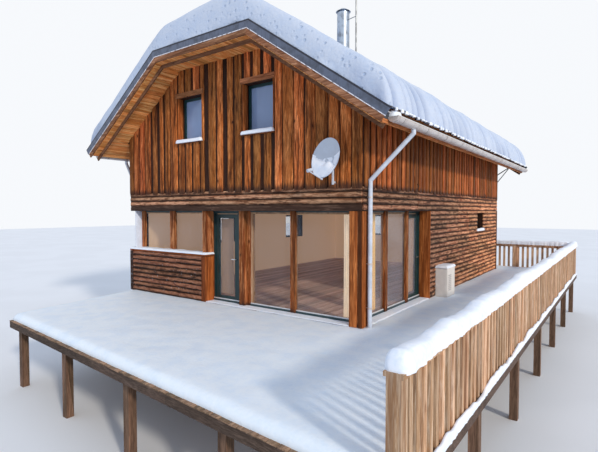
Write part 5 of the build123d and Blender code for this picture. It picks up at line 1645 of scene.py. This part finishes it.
# Snow in the dish: places on the dish are given in its own plane, with the bowl behind it
DISH_RADIUS, DISH_DEPTH = 0.366, 0.075
DISH_BOWL = (DISH_RADIUS ** 2 + DISH_DEPTH ** 2) / (2 * DISH_DEPTH)
DISH_AIM = (Matrix.Translation((6.39, -0.25, 3.19)) @ Matrix.Rotation(math.radians(-16), 4, "Z")
            @ Matrix.Rotation(math.radians(78), 4, "X"))


def dish_place(share, turn):
    """A place on the lower half of the dish: across, up, and how deep the bowl is there."""
    edge = DISH_RADIUS * 0.985
    x = edge * share * math.cos(turn)
    y = edge * share * math.sin(turn) + 0.02 * (1 - share)
    y += 0.10 * (x / DISH_RADIUS) ** 2 * (1 - abs(math.sin(turn)))
    y = max(y, -math.sqrt(max(0, edge ** 2 - x * x)))
    return x, y, DISH_BOWL - math.sqrt(DISH_BOWL ** 2 - min(x * x + y * y, DISH_RADIUS ** 2))


def dish_fill(x, y, shell):
    brink = -0.07 - 0.30 * x + 0.05 * lumps(6 * x, 1.0, 4.0)
    full = swelling(max(0.0, brink - y), 0.16)
    lift = (DISH_DEPTH + 0.012 - shell) * full + 0.006 + 0.006 * lumps(9 * x, 9 * y, 3)
    return max(0.004, lift)


class CHALET_OT_dish_snow(Operator):
    """Snow that fills the lower half of the dish"""
    bl_idname = "chalet.dish_snow"
    bl_label = "Dish Snow"

    def execute(self, context):
        bm = bmesh.new()
        rings, turns = 12, 36
        front, back = [], []
        for i in range(rings + 1):
            places = [dish_place(i / rings, math.pi + math.pi * k / turns) for k in range(turns + 1)]
            pairs = [(bm.verts.new(DISH_AIM @ Vector((x, y, shell + dish_fill(x, y, shell)))),
                      bm.verts.new(DISH_AIM @ Vector((x, y, shell + 0.001)))) for x, y, shell in places]
            front.append([pair[0] for pair in pairs])
            back.append([pair[1] for pair in pairs])
        for sheet, flip in ((front, False), (back, True)):
            for i in range(rings):
                for k in range(turns):
                    ring = (sheet[i][k], sheet[i][k + 1], sheet[i + 1][k + 1], sheet[i + 1][k])
                    bm.faces.new(ring[::-1] if flip else ring)
        for k in range(turns):
            bm.faces.new((front[rings][k], front[rings][k + 1], back[rings][k + 1], back[rings][k]))
        bmesh.ops.remove_doubles(bm, verts=bm.verts, dist=0.0004)
        piece("dish_snow", bm, "Ledge Snow", (), 60)
        return {"FINISHED"}


# Stage
def studio_floor(scene, colour):
    bm = bmesh.new()
    bmesh.ops.create_grid(bm, x_segments=1, y_segments=1, size=90)
    mesh = bpy.data.meshes.new("studio_floor")
    bm.to_mesh(mesh)
    bm.free()
    shader, point = new_finish("Studio Floor")
    soft = ease(noise_at(point, 0.3, 2, 0.5), 0.4, 0.6)
    feed(shader, {"Base Color": blend(soft, rgba(colour), rgba(times(colour, 0.97))), "Roughness": 0.9})
    mesh.materials.append(bpy.data.materials["Studio Floor"])
    floor = bpy.data.objects.new("studio_floor", mesh)
    scene.collection.objects.link(floor)


def studio_sky(scene, strength):
    """A soft blue light from all round, which the camera and reflections see as plain white."""
    world = bpy.data.worlds.new("Studio Sky")
    world.use_nodes = True
    tree = world.node_tree
    tree.nodes.clear()
    path = new_node(tree, "ShaderNodeLightPath", {}).outputs
    kinds = ("Is Camera Ray", "Is Glossy Ray", "Is Transmission Ray")
    camera, glossy, through = (Signal(path[kind]) for kind in kinds)
    seen = maths("MAXIMUM", maths("MAXIMUM", camera, glossy), through)
    glow = add(tree, "ShaderNodeBackground", {"Color": (0.74, 0.84, 1.0, 1), "Strength": strength})
    white = add(tree, "ShaderNodeBackground", {"Color": (0.93, 0.95, 0.98, 1), "Strength": 1.0})
    both = add(tree, "ShaderNodeMixShader", {0: seen, 1: glow, 2: white})
    new_node(tree, "ShaderNodeOutputWorld", {"Surface": both})
    scene.world = world


def key_sun(scene, light):
    lamp = bpy.data.lights.new("key_sun", "SUN")
    lamp.energy = light.sun
    lamp.angle = math.radians(5)
    lamp.color = (1.0, 0.90, 0.76)
    sun = bpy.data.objects.new("key_sun", lamp)
    flat = math.cos(light.sun_height)
    towards = Vector((flat * math.cos(light.sun_turn), -flat * math.sin(light.sun_turn),
                      math.sin(light.sun_height)))
    sun.rotation_euler = towards.to_track_quat("Z", "Y").to_euler()
    sun.location = towards * 30
    scene.collection.objects.link(sun)


def view_camera(scene):
    """The camera at the photograph's place, found from the vanishing lines of the walls."""
    lens = bpy.data.cameras.new("view_camera")
    lens.lens = 26.993
    lens.sensor_width = 36
    lens.clip_end = 400
    camera = bpy.data.objects.new("view_camera", lens)
    camera.location = (6.45, -10.941, 3.613)
    camera.rotation_euler = (math.radians(88.021), 0, math.radians(35.946))
    scene.collection.objects.link(camera)
    scene.camera = camera


class CHALET_OT_stage(Operator):
    """Pale floor, plain soft light, and the camera at the photograph's angle"""
    bl_idname = "chalet.stage"
    bl_label = "Stage"

    def execute(self, context):
        scene = context.scene
        light = scene.chalet_light
        scene.view_settings.view_transform = "Standard"
        studio_floor(scene, light.floor)
        studio_sky(scene, light.sky)
        key_sun(scene, light)
        view_camera(scene)
        return {"FINISHED"}


class CHALET_PT_dressing(Panel):
    """Lists the settings and the steps of the chalet's dressing"""
    bl_idname = "CHALET_PT_dressing"
    bl_label = "Chalet Dressing"
    bl_space_type = "VIEW_3D"
    bl_region_type = "UI"
    bl_category = "Chalet"

    def draw(self, context):
        for group in GROUPS:
            column = self.layout.column(align=True)
            sizes = getattr(context.scene, group)
            for name in sizes.bl_rna.properties.keys():
                if name not in ("rna_type", "name"):
                    column.prop(sizes, name)
        for operator in STEPS:
            self.layout.operator(operator.bl_idname)


GROUPS = {"chalet_boards": ChaletBoards, "chalet_snow": ChaletSnow, "chalet_colours": ChaletColours,
          "chalet_light": ChaletLight}
STEPS = (CHALET_OT_stage, CHALET_OT_finishes, CHALET_OT_upper_cladding, CHALET_OT_lower_cladding,
         CHALET_OT_soffits, CHALET_OT_roof_snow, CHALET_OT_deck_snow, CHALET_OT_ledge_snow,
         CHALET_OT_deck_ends, CHALET_OT_dish_snow, CHALET_OT_metalwork, CHALET_OT_curtains)


def register():
    for name, group in GROUPS.items():
        bpy.utils.register_class(group)
        setattr(bpy.types.Scene, name, PointerProperty(type=group))
    for step in STEPS:
        bpy.utils.register_class(step)
    bpy.utils.register_class(CHALET_PT_dressing)


def unregister():
    bpy.utils.unregister_class(CHALET_PT_dressing)
    for step in reversed(STEPS):
        bpy.utils.unregister_class(step)
    for name, group in GROUPS.items():
        delattr(bpy.types.Scene, name)
        bpy.utils.unregister_class(group)


def main():
    register()
    bpy.ops.chalet.stage()
    bpy.ops.chalet.finishes()
    bpy.ops.chalet.upper_cladding()
    bpy.ops.chalet.lower_cladding()
    bpy.ops.chalet.soffit_boards()
    bpy.ops.chalet.roof_snow()
    bpy.ops.chalet.deck_snow()
    bpy.ops.chalet.ledge_snow()
    bpy.ops.chalet.deck_ends()
    bpy.ops.chalet.dish_snow()
    bpy.ops.chalet.metalwork()
    bpy.ops.chalet.curtains()
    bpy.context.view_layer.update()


if __name__ == "__main__":
    main()
